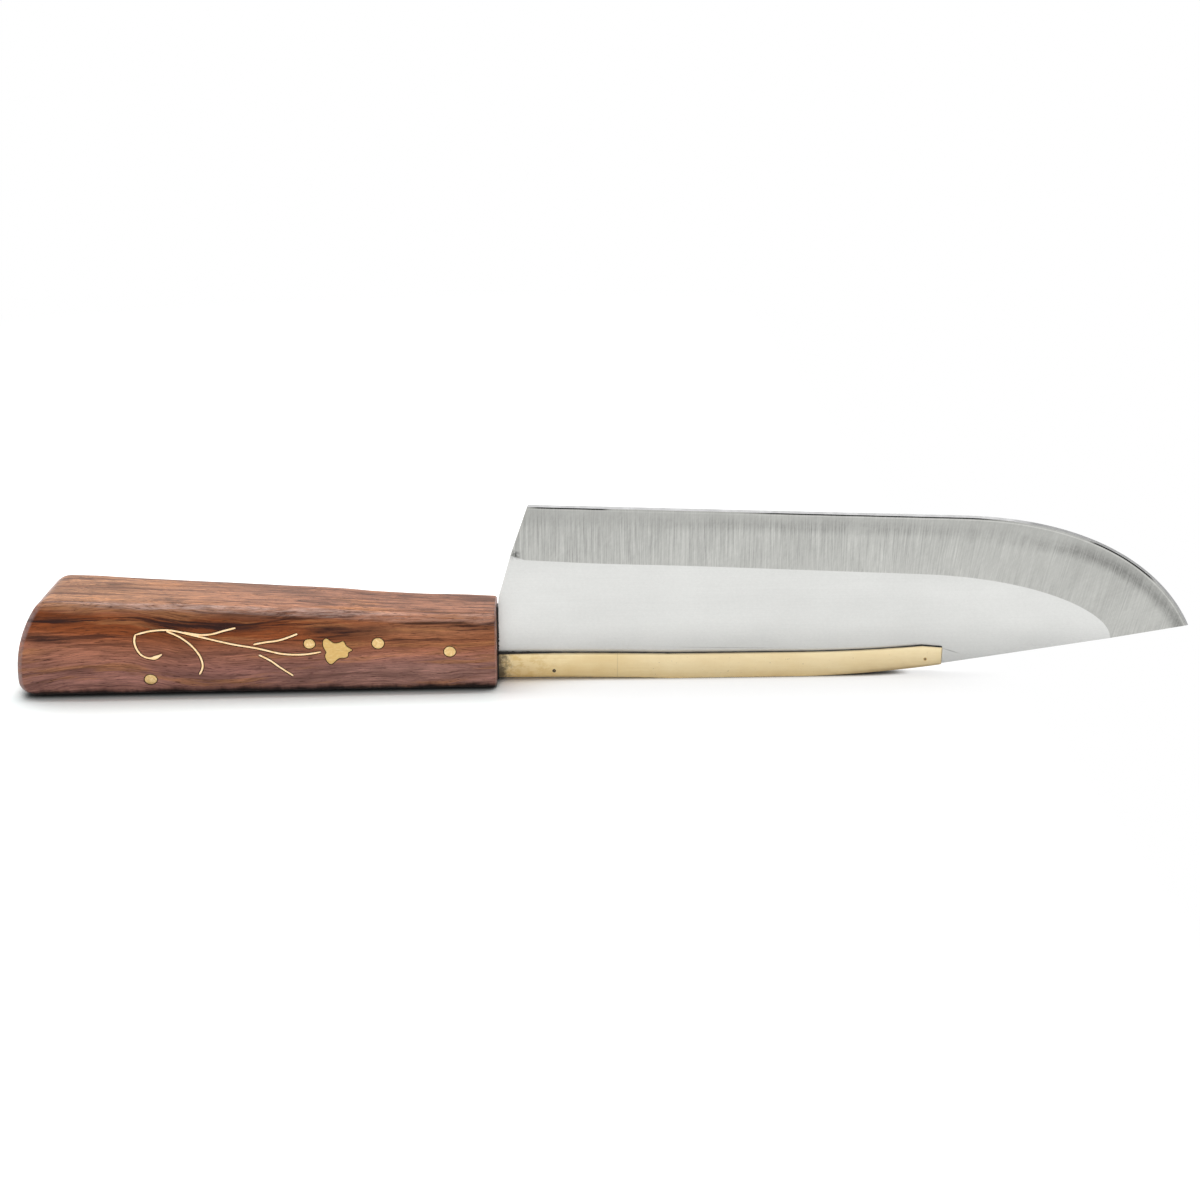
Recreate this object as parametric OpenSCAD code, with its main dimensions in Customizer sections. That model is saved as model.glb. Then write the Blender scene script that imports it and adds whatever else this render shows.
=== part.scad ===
// Butcher knife, handmade, standing on its spine with the cutting edge up.
// +X runs from the butt to the tip, +Z from the spine to the cutting edge, -Y is the inlaid side.
// The origin is at the middle of the length and width, on the plane that the knife rests on.

/* [Handle] */
// Length of the wooden handle
handle_l = 136; // [124:1:150]
// Width of the handle at the butt
butt_w = 26.4; // [22:0.2:30]
// Width of the handle where the blade enters
front_w = 21.6; // [18:0.2:25]
// Height of the handle at its butt corner
butt_h = 29.2; // [27:0.1:33]
// Height of the handle where its top line bends towards the front
bend_h = 23.9; // [23:0.1:26]
// Height of the handle where the blade enters
front_h = 22.7; // [21:0.1:24]
// Distance from the front to that bend of the top line
bend_back = 32; // [25:1:40]
// How far the butt is cut back at its upper corner
butt_slant = 8.5; // [5:0.1:14]
// Rounding of the long upper edges at the butt
ridge_r = 2.2; // [1:0.1:3.2]
// Rounding of the long upper edges at the front
ridge_front_r = 3.2; // [1.6:0.1:4]
// Rounding of the long lower edges
sole_r = 2.8; // [0.8:0.1:3.4]
// Rounding of the edges round the butt
butt_round = 2.4; // [1:0.1:3]
// Rounding of the butt corner beside the table
heel_r = 5; // [3:0.1:5.2]
// Bevel round the front end of the handle
front_bevel = 0.4; // [0.2:0.1:0.8]

/* [Blade] */
// Length of the blade from the handle to the tip
blade_l = 203.5; // [190:0.5:220]
// Thickness of the blade along the spine
blade_t = 2.6; // [2:0.1:3.2]
// Height of the cutting edge above the table at the heel
edge_heel_h = 52.4; // [48:0.1:56]
// Height of the cutting edge where its curve to the tip starts
edge_curve_h = 48.1; // [45:0.1:50]
// Distance from the tip back to the start of that curve
edge_curve_l = 69.5; // [60:0.5:80]
// Height of the tip above the table
tip_h = 13.9; // [12:0.1:17]
// Height of the grind line at the heel
grind_heel_h = 36.5; // [34:0.1:39]
// Height of the grind line where it starts to curve down
grind_curve_h = 30.8; // [28:0.1:33]
// Distance from the tip back to the start of that curve
grind_curve_l = 80; // [74:1:86]
// Distance from the tip back to where the grind line meets the spine
grind_end_l = 23.4; // [18:0.1:28]
// Height of the small bevel along the cutting edge
edge_bevel = 0.6; // [0.4:0.1:1]
// Thickness behind that small bevel
edge_bevel_t = 0.7; // [0.5:0.1:1]
// How far the heel leans away from the handle at the cutting edge
heel_lean = 9; // [6:0.1:12]
// Height at which the heel turns upright beside the handle
heel_turn_h = 24.5; // [24:0.1:28]
// Gap between the handle and the shoulder of the blade
shoulder_gap = 0.5; // [0.3:0.1:1]

/* [Spine] */
// Rise of the spine above the table where it leaves the handle
spine_rise = 1; // [0.6:0.1:1.6]
// Distance from the heel to the first point that touches the table
rest_start = 50; // [42:1:60]
// Distance from the heel to the last point that touches the table
rest_end = 88; // [80:1:96]
// Distance from the heel to where the spine runs straight to the tip
clip_start = 131; // [126:1:138]

/* [Tang] */
// Length of the tang inside the handle
tang_l = 113; // [106:1:116]
// Height of the tang where it enters the handle
tang_h = 18.5; // [17.5:0.1:20]
// Height of the tang at its end
tang_end_h = 9.8; // [8:0.1:12]
// Length of the parallel stretch of the tang
tang_straight_l = 56; // [55:1:70]
// Distance from the table up to the lower edge of the tang
tang_inset = 0.3; // [0.2:0.1:0.8]
// Resin between the tang and the slot in the wood
slot_gap = 0.25; // [0.1:0.05:0.4]
// Width of the resin bead round the blade at the mouth of the slot
bead_w = 0.6; // [0.3:0.1:1]

/* [Spine bars] */
// Length of the brass bars from the heel
bar_l = 130.3; // [122:0.1:138]
// Height of the bars above the table where they touch it
bar_h = 7.4; // [6.6:0.1:8.4]
// Width over both bars at the handle
bar_heel_w = 7; // [6.2:0.1:8]
// Width over both bars at the tip end
bar_tip_w = 5; // [4.6:0.1:6]
// How much of the spine's rise the upper edge follows
bar_top_follow = 0.65; // [0.4:0.05:1]
// Length of the sloping upper corner at the tip end
bar_corner_l = 6; // [3:0.5:9]
// Drop of the sloping upper corner at the tip end
bar_corner_h = 1.1; // [0.6:0.1:2]
// Height of the dark solder line along the top of a bar
seam_h = 0.35; // [0.2:0.05:0.6]
// How far the solder line stays back from the face of the bar
seam_back = 0.3; // [0.1:0.1:0.6]

/* [Pins and rivets] */
// Diameter of the handle pins
pin_d = 3.3; // [2.6:0.1:4]
// Distance from the end of the tang to the butt pin
tang_pin_in = 14.7; // [10:0.1:20]
// Diameter of the rivets through the bars
rivet_d = 1.1; // [0.8:0.1:1.6]
// Distance from the heel to the rivet near the handle
heel_rivet_x = 16.1; // [10:0.1:24]
// Height of the rivet near the handle above the spine
heel_rivet_h = 2; // [1.2:0.1:4.5]
// Distance from the tip end of the bars back to the other rivet
tip_rivet_back = 5; // [3:0.1:8]
// Height of the other rivet above the spine
tip_rivet_h = 2.5; // [1.2:0.1:4]

/* [Inlay] */
// Width of the inlaid wire
wire_w = 0.85; // [0.6:0.05:1.1]
// Widest part of the leaf at the end of the hook
leaf_w = 1.4; // [1:0.1:1.8]
// Depth of the wire and the flower in the wood
inlay_depth = 1.2; // [0.8:0.1:2]
// Clearance beside the wire in its groove
inlay_gap = 0.06; // [0.02:0.02:0.1]

/* [Hidden] */

steel = "#c9c9c6";
wood = "#7a4028";
brass = "#d9bd7a";
dark = "#2a2220";

round_fn = 48;
cut_over = 1;

// Places along X
overall_l = handle_l + shoulder_gap + blade_l;
butt_x = -overall_l / 2;
front_x = butt_x + handle_l;
heel_x = front_x + shoulder_gap;
tip_x = heel_x + blade_l;
bar_end_x = heel_x + bar_l;
tang_end_x = front_x - tang_l;

// Pin places, from the front of the handle and from the table. The first goes through the end of the tang.
tang_end_r = tang_end_h / 2;
pin_places = [[tang_pin_in - tang_l, tang_inset + tang_end_r], [-52.9, 15.2], [-33.5, 15], [-13.2, 12.1]];

// Wire routes on the near face, measured from the front of the handle and from the table
hook_route = [
    [-101.5, 18.8], [-101.9, 16.6], [-101.4, 14.4], [-100.2, 12.6], [-98.3, 11.7], [-96.3, 11.9], [-93.9, 13]
];
stem_route = [
    [-101.5, 18.8], [-96.7, 19.9], [-91.2, 19.9], [-83.7, 17.9], [-74.7, 15.5], [-67.7, 14.1], [-60.7, 12.3],
    [-54.7, 12], [-49.7, 12.7]
];
upper_branch_route = [[-87.9, 19.3], [-83.7, 18.5], [-80.2, 18.6], [-76.9, 19.5], [-73.3, 20.4]];
lower_branch_route = [
    [-92.7, 19.7], [-89.2, 18], [-86, 15.4], [-83.8, 12.4], [-82.9, 9.9], [-83.1, 8.2], [-84.2, 6.5]
];
upper_tendril_route = [[-68.6, 15.3], [-65.2, 15.9], [-61.9, 16.3], [-58.9, 17.2], [-56.1, 18.3]];
lower_tendril_route = [[-67.3, 12.1], [-64.3, 10.4], [-61.7, 8.3], [-58, 5.6]];

// Corners and soft lobes of the flower, from its base round its two petals and its three points
flower_outline = [
    [-48.2, 12.6], [-49, 14.4], [-48.9, 16.1], [-48, 16.7], [-47, 16], [-45.9, 15.3], [-44.5, 15.4],
    [-43.3, 15.8], [-42.7, 14.7], [-42.1, 14], [-40.9, 13.1], [-42, 12.4], [-42.2, 11.3], [-42.9, 10.8],
    [-44.6, 10.7], [-45.7, 9.9], [-47, 8.9], [-48.1, 9.7], [-48.6, 11.3]
];

// Point on a cubic curve
function bezier(p, t) =
    pow(1 - t, 3) * p[0] + 3 * pow(1 - t, 2) * t * p[1] + 3 * (1 - t) * t * t * p[2] + pow(t, 3) * p[3];

// Direction of a cubic curve
function bezier_slope(p, t) =
    3 * pow(1 - t, 2) * (p[1] - p[0]) + 6 * (1 - t) * t * (p[2] - p[1]) + 3 * t * t * (p[3] - p[2]);

// Smooth curve through points, with a number of steps in each stretch
function smooth_span(a, b, c, d, t) =
    0.5 * (2 * b + (c - a) * t + (2 * a - 5 * b + 4 * c - d) * t * t + (3 * b - a - 3 * c + d) * t * t * t);
function smooth(p, steps) = [
    for (i = [0 : len(p) - 2], k = [0 : steps - 1])
        smooth_span(p[max(i - 1, 0)], p[i], p[i + 1], p[min(i + 2, len(p) - 1)], k / steps),
    p[len(p) - 1]
];

function unit(v) = v / norm(v);
function along(v, dx, dz) = [v[0] + dx, v[1] + dz];
function reversed(p) = [for (i = [len(p) - 1 : -1 : 0]) p[i]];

// Half the handle's width at a place along X, flat sides in plan
function handle_half_w(x) = (butt_w + (front_w - butt_w) * (x - butt_x) / handle_l) / 2;

// Half the width over the bars
function bar_half_w(x) = (bar_heel_w + (bar_tip_w - bar_heel_w) * (x - heel_x) / bar_l) / 2;

// Height of the blade's spine: an arch beside the handle, a flat on the table, a soft bend, a straight clip
clip_bend = tip_h / (pow(clip_start - rest_end, 2) + 2 * (clip_start - rest_end) * (blade_l - clip_start));
function spine_h(u) =
    u < rest_start ? spine_rise * (1 - pow(u / rest_start, 2))
    : u < rest_end ? 0
    : u < clip_start ? clip_bend * pow(u - rest_end, 2)
    : clip_bend * (clip_start - rest_end) * (2 * u - clip_start - rest_end);

// Stations along the spine from the heel to a chosen distance
arch_steps = 6;
bend_steps = 8;
function spine_stations(end) = concat(
    [for (i = [0 : arch_steps]) rest_start * i / arch_steps],
    [for (i = [0 : bend_steps]) let(u = rest_end + (min(clip_start, end) - rest_end) * i / bend_steps) u]
);
function spine_line(end) = [for (u = spine_stations(end)) [heel_x + u, spine_h(u)]];

// The heel stands upright beside the handle and then leans forward to the cutting edge
function heel_at(z) = heel_x + heel_lean * (z - heel_turn_h) / (edge_heel_h - heel_turn_h);
heel_turn_steps = 6;
heel_turn_share = 0.3;
heel_turn_end_h = heel_turn_h + heel_turn_share * (grind_heel_h - heel_turn_h);
tang_top_h = tang_inset + tang_h;
heel_turn = [
    [heel_at(heel_turn_end_h), heel_turn_end_h],
    [heel_x, heel_turn_h],
    [heel_x, heel_turn_h],
    [heel_x, tang_top_h]
];
heel_row = [for (i = [0 : heel_turn_steps]) bezier(heel_turn, i / heel_turn_steps)];

// Cutting edge: straight from the heel, then a curve that tightens towards the tip
edge_straight_pull = 41.9;
edge_tip_pull = 16.7;
edge_tip_angle = 62.5;
edge_start = [heel_at(edge_heel_h), edge_heel_h];
edge_curve_start = [tip_x - edge_curve_l, edge_curve_h];
edge_curve = [
    edge_curve_start,
    edge_curve_start + edge_straight_pull * unit(edge_curve_start - edge_start),
    [tip_x - edge_tip_pull * cos(edge_tip_angle), tip_h + edge_tip_pull * sin(edge_tip_angle)],
    [tip_x, tip_h]
];

// Grind line: straight from the heel, then a curve down to the spine
grind_straight_pull = 35;
grind_end_pull = 7.4;
grind_end_u = blade_l - grind_end_l;
grind_end = [heel_x + grind_end_u, spine_h(grind_end_u)];
grind_start = [heel_at(grind_heel_h), grind_heel_h];
grind_curve_start = [tip_x - grind_curve_l, grind_curve_h];
grind_curve = [
    grind_curve_start,
    grind_curve_start + grind_straight_pull * unit(grind_curve_start - grind_start),
    grind_end + [0, grind_end_pull],
    grind_end
];

// Four rows of points along the blade: edge, small bevel, grind line and spine. Past the end of the grind
// line its row follows the spine, and the blade gets thinner there towards the tip.
straight_steps = 6;
grind_steps = 16;
clip_steps = 4;
curve_steps = grind_steps + clip_steps;
edge_t = 0.1;
tip_t = 1.2 * edge_bevel_t;
tip_back = 2.5 * edge_bevel;
function straight_row(from, to) =
    [for (i = [0 : straight_steps - 1]) from + (to - from) * i / straight_steps];
function clip_u(i) = grind_end_u + (grind_end_l - tip_back) * i / clip_steps;
function clip_t(i) = blade_t + (tip_t - blade_t) * i / clip_steps;
edge_row = concat(
    straight_row(edge_start, edge_curve_start),
    [for (i = [0 : curve_steps]) bezier(edge_curve, i / curve_steps)]
);
last = len(edge_row) - 1;
bevel_row = [
    for (i = [0 : last])
        let(t = unit(edge_row[min(i + 1, last)] - edge_row[max(i - 1, 0)]))
            i == 0 ? [heel_at(edge_heel_h - edge_bevel), edge_heel_h - edge_bevel]
            : i == last ? [tip_x - edge_bevel, spine_h(blade_l - edge_bevel)]
            : edge_row[i] + edge_bevel * [t[1], -t[0]]
];
grind_row = concat(
    straight_row(grind_start, grind_curve_start),
    [for (i = [0 : grind_steps - 1]) bezier(grind_curve, i / grind_steps)],
    [for (i = [0 : clip_steps]) [heel_x + clip_u(i), spine_h(clip_u(i))]]
);
grind_t = [for (i = [0 : last]) clip_t(max(0, i - straight_steps - grind_steps))];
spine_row = spine_line(grind_end_u);

// Side view of the tang from its upper corner round its end to the lower edge, grown by a margin
tang_end_steps = 8;
function tang_row(margin) = concat(
    [[front_x - tang_straight_l, tang_top_h + margin]],
    [for (i = [0 : tang_end_steps]) let(a = 90 + 180 * i / tang_end_steps)
        [tang_end_x + tang_end_r, tang_inset + tang_end_r] + (tang_end_r + margin) * [cos(a), sin(a)]],
    [[front_x, tang_inset - margin]]
);
module tang_outline(margin) {
    polygon(concat(
        [[heel_x + cut_over, tang_inset - margin], [heel_x + cut_over, tang_top_h + margin]],
        tang_row(margin)
    ));
}

// A row on the near side, where the blade has one thickness or a thickness for each point
function lift(row, t) = [for (i = [0 : len(row) - 1]) [row[i][0], -(is_list(t) ? t[i] : t) / 2, row[i][1]]];
function span(from, count) = [for (i = [0 : count - 1]) from + i];

// Blade and tang in one piece: flats, long bevels, small bevels and the narrow edge
module forging() {
    n = last + 1;
    near = concat(
        lift(grind_row, grind_t), lift(bevel_row, edge_bevel_t), lift(edge_row, edge_t),
        lift(spine_row, blade_t), lift(heel_row, blade_t), lift(tang_row(0), blade_t)
    );
    far = [for (p = near) [p[0], -p[1], p[2]]];
    m = len(near);
    grind = span(0, n);
    bevel = span(n, n);
    edge = span(2 * n, n);
    spine = span(3 * n, len(spine_row));
    behind = span(3 * n + len(spine_row), m - 3 * n - len(spine_row));
    flat_end = straight_steps + grind_steps;
    flat = concat(spine, [for (i = [flat_end : -1 : 0]) grind[i]], behind);
    bevels = [
        for (rows = [[grind, bevel], [bevel, edge]], i = [0 : last - 1])
            each [[rows[0][i], rows[1][i], rows[1][i + 1]], [rows[0][i], rows[1][i + 1], rows[0][i + 1]]]
    ];
    rim = concat(
        spine, [for (i = [flat_end : last]) grind[i]], [bevel[last]], reversed(edge), [bevel[0], grind[0]],
        behind
    );
    across = [
        for (i = [0 : len(rim) - 1])
            let(a = rim[i], b = rim[(i + 1) % len(rim)])
                [b, b + m, a + m, a]
    ];
    near_faces = concat([reversed(flat)], bevels);
    far_faces = [for (f = near_faces) reversed([for (v = f) v + m])];
    polyhedron(concat(near, far), concat(near_faces, far_faces, across), convexity = 4);
}

// Puts a side view upright, from one place across the width to another
module upright(y_from, y_to) {
    translate([0, y_to, 0]) rotate([90, 0, 0]) linear_extrude(y_to - y_from) children();
}

// Straight pin along Y through the whole handle or both bars
module through_pin(x, z, d, w) {
    translate([x, w / 2, z]) rotate([90, 0, 0]) cylinder(h = w, d = d, $fn = round_fn);
}

module handle_pin_blank(i) {
    through_pin(front_x + pin_places[i][0], pin_places[i][1], pin_d, butt_w + 2 * cut_over);
}

module rivet_blank(u, h) {
    through_pin(heel_x + u, spine_h(u) + h, rivet_d, bar_heel_w + 2 * cut_over);
}

module heel_rivet_blank() {
    rivet_blank(heel_rivet_x, heel_rivet_h);
}

module tip_rivet_blank() {
    rivet_blank(bar_l - tip_rivet_back, tip_rivet_h);
}

module blade() {
    color(steel) difference() {
        forging();
        for (i = [0 : len(pin_places) - 1]) handle_pin_blank(i);
        heel_rivet_blank();
        tip_rivet_blank();
    }
}

// Side outline of the handle, clockwise from the front: the flat sole, the rounded butt, the long top line
heel_steps = 4;
butt_steps = 8;
top_steps = 4;
butt_pull_x = 0.26;
butt_pull_high = 0.72;
butt_pull_low = 0.45;
butt_curve_low = 0.2;
butt_curve = [
    [butt_x, butt_h * butt_curve_low],
    [butt_x, butt_h * butt_pull_low],
    [butt_x + butt_slant * butt_pull_x, butt_h * butt_pull_high],
    [butt_x + butt_slant, butt_h]
];
hump_share = 0.16;
hump_drop = 0.42;
slope_share = 0.38;
bend_run = 16;
bend_run_rise = 1.3;
top_points = [
    [butt_x + butt_slant, butt_h],
    [butt_x + handle_l * hump_share, butt_h - hump_drop],
    [butt_x + handle_l * slope_share, (3 * butt_h + 2 * bend_h) / 5],
    [front_x - bend_back - bend_run, bend_h + bend_run_rise],
    [front_x - bend_back, bend_h],
    [front_x - front_bevel, front_h]
];
handle_outline = concat(
    [[front_x, front_bevel], [front_x - front_bevel, 0]],
    [for (i = [0 : heel_steps]) let(a = 270 - 90 * i / heel_steps)
        [butt_x + heel_r, heel_r] + heel_r * [cos(a), sin(a)]],
    [for (i = [0 : butt_steps - 1]) bezier(butt_curve, i / butt_steps)],
    smooth(top_points, top_steps),
    [[front_x, front_h - front_bevel]]
);
outline_last = len(handle_outline) - 1;

// Direction out of the outline at one of its points, straight up or down beside the front
function outline_normal(i) =
    i < 2 ? [0, -1]
    : i > outline_last - 2 ? [0, 1]
    : let(t = unit(handle_outline[i + 1] - handle_outline[i - 1])) [-t[1], t[0]];

// Rounding of the edge between the outline and the flat side, by the way the outline faces
sole_limit = 0.9;
function ridge_at(x) = ridge_r + (ridge_front_r - ridge_r) * (x - butt_x) / handle_l;
function side_edge_r(x, n) =
    butt_round * n[0] * n[0] + (n[1] > 0 ? ridge_at(x) : min(sole_r, sole_limit * heel_r)) * n[1] * n[1];

// A point of the outline, carried round the edge by an angle towards the flat side
function handle_point(i, side, a) =
    let(
        p = handle_outline[i],
        n = outline_normal(i),
        r = side_edge_r(p[0], n),
        inset = r * (1 - sin(a)),
        x = p[0] - inset * n[0],
        bevel = max(0, p[0] - front_x + front_bevel)
    )
    [x, side * (handle_half_w(x) - r * (1 - cos(a)) - bevel), p[1] - inset * n[1]];

// Handle without its slot, holes and grooves: the outline goes round the near edges, across and round the
// far edges. The sides are flat, and the front is flat with a narrow bevel.
corner_steps = 5;
module handle_blank() {
    n = outline_last + 1;
    turns = [for (k = [0 : corner_steps]) 90 * k / corner_steps];
    rows = concat([for (a = turns) [-1, a]], [for (a = reversed(turns)) [1, a]]);
    m = len(rows);
    points = [for (row = rows, i = [0 : outline_last]) handle_point(i, row[0], row[1])];
    strips = [
        for (k = [0 : m - 2], i = [0 : outline_last - 1])
            let(a = k * n + i, b = a + n)
                each (k == corner_steps ? [[a, b, b + 1, a + 1]] : [[a, b, b + 1], [a, b + 1, a + 1]])
    ];
    near_side = span(1, n - 2);
    near_bevel = [0, 1, n - 2, n - 1];
    far = (m - 1) * n;
    far_side = reversed([for (v = near_side) v + far]);
    far_bevel = reversed([for (v = near_bevel) v + far]);
    front = concat([for (k = [0 : m - 1]) k * n + outline_last], [for (k = [m - 1 : -1 : 0]) k * n]);
    polyhedron(points, concat(strips, [near_side, near_bevel, far_side, far_bevel, front]), convexity = 4);
}

// Thin layer under the near face of the handle, where the inlay lies
module near_layer(depth, outside) {
    linear_extrude(butt_h) polygon([
        [butt_x, -handle_half_w(butt_x) - outside],
        [front_x, -handle_half_w(front_x) - outside],
        [front_x, -handle_half_w(front_x) + depth],
        [butt_x, -handle_half_w(butt_x) + depth]
    ]);
}

// Everything between the two flat sides of the handle
module handle_sides() {
    linear_extrude(butt_h) polygon([
        for (s = [-1, 1], x = s < 0 ? [butt_x, front_x] : [front_x, butt_x]) [x, s * handle_half_w(x)]
    ]);
}

// Flat band along a route, with a leaf near its end where it is asked for
wire_steps = 4;
leaf_from = 0.68;
leaf_share = 0.3;
function route_tangent(p, i) = unit(p[min(i + 1, len(p) - 1)] - p[max(i - 1, 0)]);
function leaf_swell(t) = pow(sin(180 * max(0, min(1, (t - leaf_from) / leaf_share))), 2);
module wire_band(route, grow, leaf = 0) {
    line = smooth([for (p = route) [front_x + p[0], p[1]]], wire_steps);
    n = len(line) - 1;
    function half(i) = wire_w / 2 + grow + leaf * leaf_swell(i / n) * (leaf_w - wire_w) / 2;
    function side(s) = [
        for (i = [0 : n])
            let(t = route_tangent(line, i)) line[i] + s * half(i) * [-t[1], t[0]] + ends(i) * grow * t
    ];
    function ends(i) = i == 0 ? -1 : i == n ? 1 : 0;
    polygon(concat(side(1), reversed(side(-1))));
}

module hook_band(grow) {
    difference() {
        wire_band(hook_route, grow, leaf = 1);
        wire_band(stem_route, grow);
    }
}

module branch_band(route, grow) {
    difference() {
        wire_band(route, grow);
        wire_band(stem_route, grow);
    }
}

module flower_shape() {
    polygon([for (p = flower_outline) [front_x + p[0], p[1]]]);
}

module inlay(depth, outside) {
    color(brass) intersection() {
        upright(-butt_w, 0) children();
        near_layer(depth, outside);
    }
}

// All grooves together, a little wider than the wires that lie in them
module inlay_grooves() {
    inlay(inlay_depth, cut_over) wire_band(hook_route, inlay_gap, leaf = 1);
    inlay(inlay_depth, cut_over) wire_band(stem_route, inlay_gap);
    for (route = [upper_branch_route, lower_branch_route, upper_tendril_route, lower_tendril_route])
        inlay(inlay_depth, cut_over) wire_band(route, inlay_gap);
    inlay(inlay_depth, cut_over) flower_shape();
}

module handle() {
    color(wood) difference() {
        handle_blank();
        upright(-blade_t / 2 - slot_gap, blade_t / 2 + slot_gap) slot_outline();
        for (i = [0 : len(pin_places) - 1]) handle_pin_blank(i);
        inlay_grooves();
    }
}

// The slot opens downwards, on the spine side of the handle, and is sawn straight down behind the tang
module slot_outline() {
    tang_outline(slot_gap);
    translate([tang_end_x - slot_gap, -cut_over])
        square([tang_l + slot_gap + cut_over, cut_over + tang_inset + tang_end_r]);
}

// Resin between the tang and the wood, and a bead round the blade at the mouth of the slot
module tang_bedding() {
    color(dark) difference() {
        union() {
            intersection() {
                upright(-blade_t / 2 - slot_gap, blade_t / 2 + slot_gap) slot_outline();
                translate([butt_x, -butt_w, tang_inset / 2]) cube([handle_l, 2 * butt_w, butt_h]);
            }
            translate([front_x, -blade_t / 2 - bead_w, bar_h + spine_rise])
                cube([shoulder_gap, blade_t + 2 * bead_w, tang_h - bar_h]);
        }
        upright(-blade_t / 2, blade_t / 2) tang_outline(0);
        for (i = [0 : len(pin_places) - 1]) handle_pin_blank(i);
    }
}

// Height of the upper edge of the bars
function bar_top_h(u) = bar_h + bar_top_follow * spine_h(u);
bar_stations = spine_stations(bar_l - bar_corner_l);
function bar_top_line() = concat(
    [for (u = bar_stations) [heel_x + u, bar_top_h(u)]],
    [[bar_end_x, bar_top_h(bar_l) - bar_corner_h]]
);
function bar_bottom_line() = concat(
    [for (u = bar_stations) [heel_x + u, spine_h(u)]],
    [[bar_end_x, spine_h(bar_l)]]
);

// Width of one bar in plan, from the blade to its outer face
module bar_plan(side, back) {
    linear_extrude(edge_heel_h) polygon([
        [heel_x, side * blade_t / 2],
        [heel_x, side * (bar_half_w(heel_x) - back)],
        [bar_end_x, side * (bar_half_w(bar_end_x) - back)],
        [bar_end_x, side * blade_t / 2]
    ]);
}

module spine_bar(side) {
    color(brass) difference() {
        intersection() {
            upright(-bar_heel_w, bar_heel_w) polygon(concat(bar_bottom_line(), reversed(bar_top_line())));
            bar_plan(side, 0);
        }
        heel_rivet_blank();
        tip_rivet_blank();
    }
}

module seam(side) {
    color(dark) intersection() {
        upright(-bar_heel_w, bar_heel_w)
            polygon(concat(bar_top_line(), reversed([for (p = bar_top_line()) along(p, 0, seam_h)])));
        bar_plan(side, seam_back);
    }
}

module rivet() {
    color(brass) intersection() {
        children();
        union() {
            bar_plan(-1, 0);
            bar_plan(1, 0);
            translate([heel_x, -blade_t / 2, 0]) cube([bar_l, blade_t, edge_heel_h]);
        }
    }
}

module handle_pin(i) {
    color(brass) intersection() {
        handle_pin_blank(i);
        handle_sides();
    }
}

module spine_bar_near() { spine_bar(-1); }
module spine_bar_far() { spine_bar(1); }
module seam_near() { seam(-1); }
module seam_far() { seam(1); }
module heel_rivet() { rivet() heel_rivet_blank(); }
module tip_rivet() { rivet() tip_rivet_blank(); }
module butt_pin() { handle_pin(0); }
module middle_pin() { handle_pin(1); }
module flower_pin() { handle_pin(2); }
module front_pin() { handle_pin(3); }
module inlay_hook() { inlay(inlay_depth, 0) hook_band(0); }
module inlay_stem() { inlay(inlay_depth, 0) wire_band(stem_route, 0); }
module inlay_upper_branch() { inlay(inlay_depth, 0) branch_band(upper_branch_route, 0); }
module inlay_lower_branch() { inlay(inlay_depth, 0) branch_band(lower_branch_route, 0); }
module inlay_upper_tendril() { inlay(inlay_depth, 0) wire_band(upper_tendril_route, 0); }
module inlay_lower_tendril() { inlay(inlay_depth, 0) wire_band(lower_tendril_route, 0); }
module inlay_flower() { inlay(inlay_depth, 0) flower_shape(); }

blade();
handle();
tang_bedding();
spine_bar_near();
spine_bar_far();
seam_near();
seam_far();
heel_rivet();
tip_rivet();
butt_pin();
middle_pin();
flower_pin();
front_pin();
inlay_hook();
inlay_stem();
inlay_upper_branch();
inlay_lower_branch();
inlay_upper_tendril();
inlay_lower_tendril();
inlay_flower();
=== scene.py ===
"""Handmade butcher knife standing on its spine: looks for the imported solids.

Lengths are in millimetres until a mesh is made, and metres after that.
+X runs from the butt to the tip, +Z from the spine to the cutting edge, -Y is the inlaid side.
"""

import math

import bmesh
import bpy
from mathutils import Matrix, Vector, noise


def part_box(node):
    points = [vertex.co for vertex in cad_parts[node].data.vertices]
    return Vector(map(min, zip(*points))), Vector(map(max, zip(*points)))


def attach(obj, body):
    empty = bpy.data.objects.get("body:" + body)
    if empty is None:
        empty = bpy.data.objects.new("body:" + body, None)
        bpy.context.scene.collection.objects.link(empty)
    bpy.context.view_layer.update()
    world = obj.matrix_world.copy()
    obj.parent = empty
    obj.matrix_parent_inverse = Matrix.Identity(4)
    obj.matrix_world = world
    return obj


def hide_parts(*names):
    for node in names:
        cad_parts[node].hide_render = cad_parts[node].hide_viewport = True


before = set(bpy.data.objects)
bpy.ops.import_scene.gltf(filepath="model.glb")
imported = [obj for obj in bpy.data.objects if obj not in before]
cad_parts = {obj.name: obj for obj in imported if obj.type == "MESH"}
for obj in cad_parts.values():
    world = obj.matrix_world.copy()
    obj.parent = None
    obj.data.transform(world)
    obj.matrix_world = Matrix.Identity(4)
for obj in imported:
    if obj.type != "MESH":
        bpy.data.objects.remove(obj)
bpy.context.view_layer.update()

MM = 0.001


def box(node):
    """Lowest and highest corner of a solid, in millimetres."""
    low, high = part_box(node)
    return low / MM, high / MM


def middle_of(node):
    """Centre of a solid, in millimetres."""
    return sum(box(node), Vector()) / 2


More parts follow.
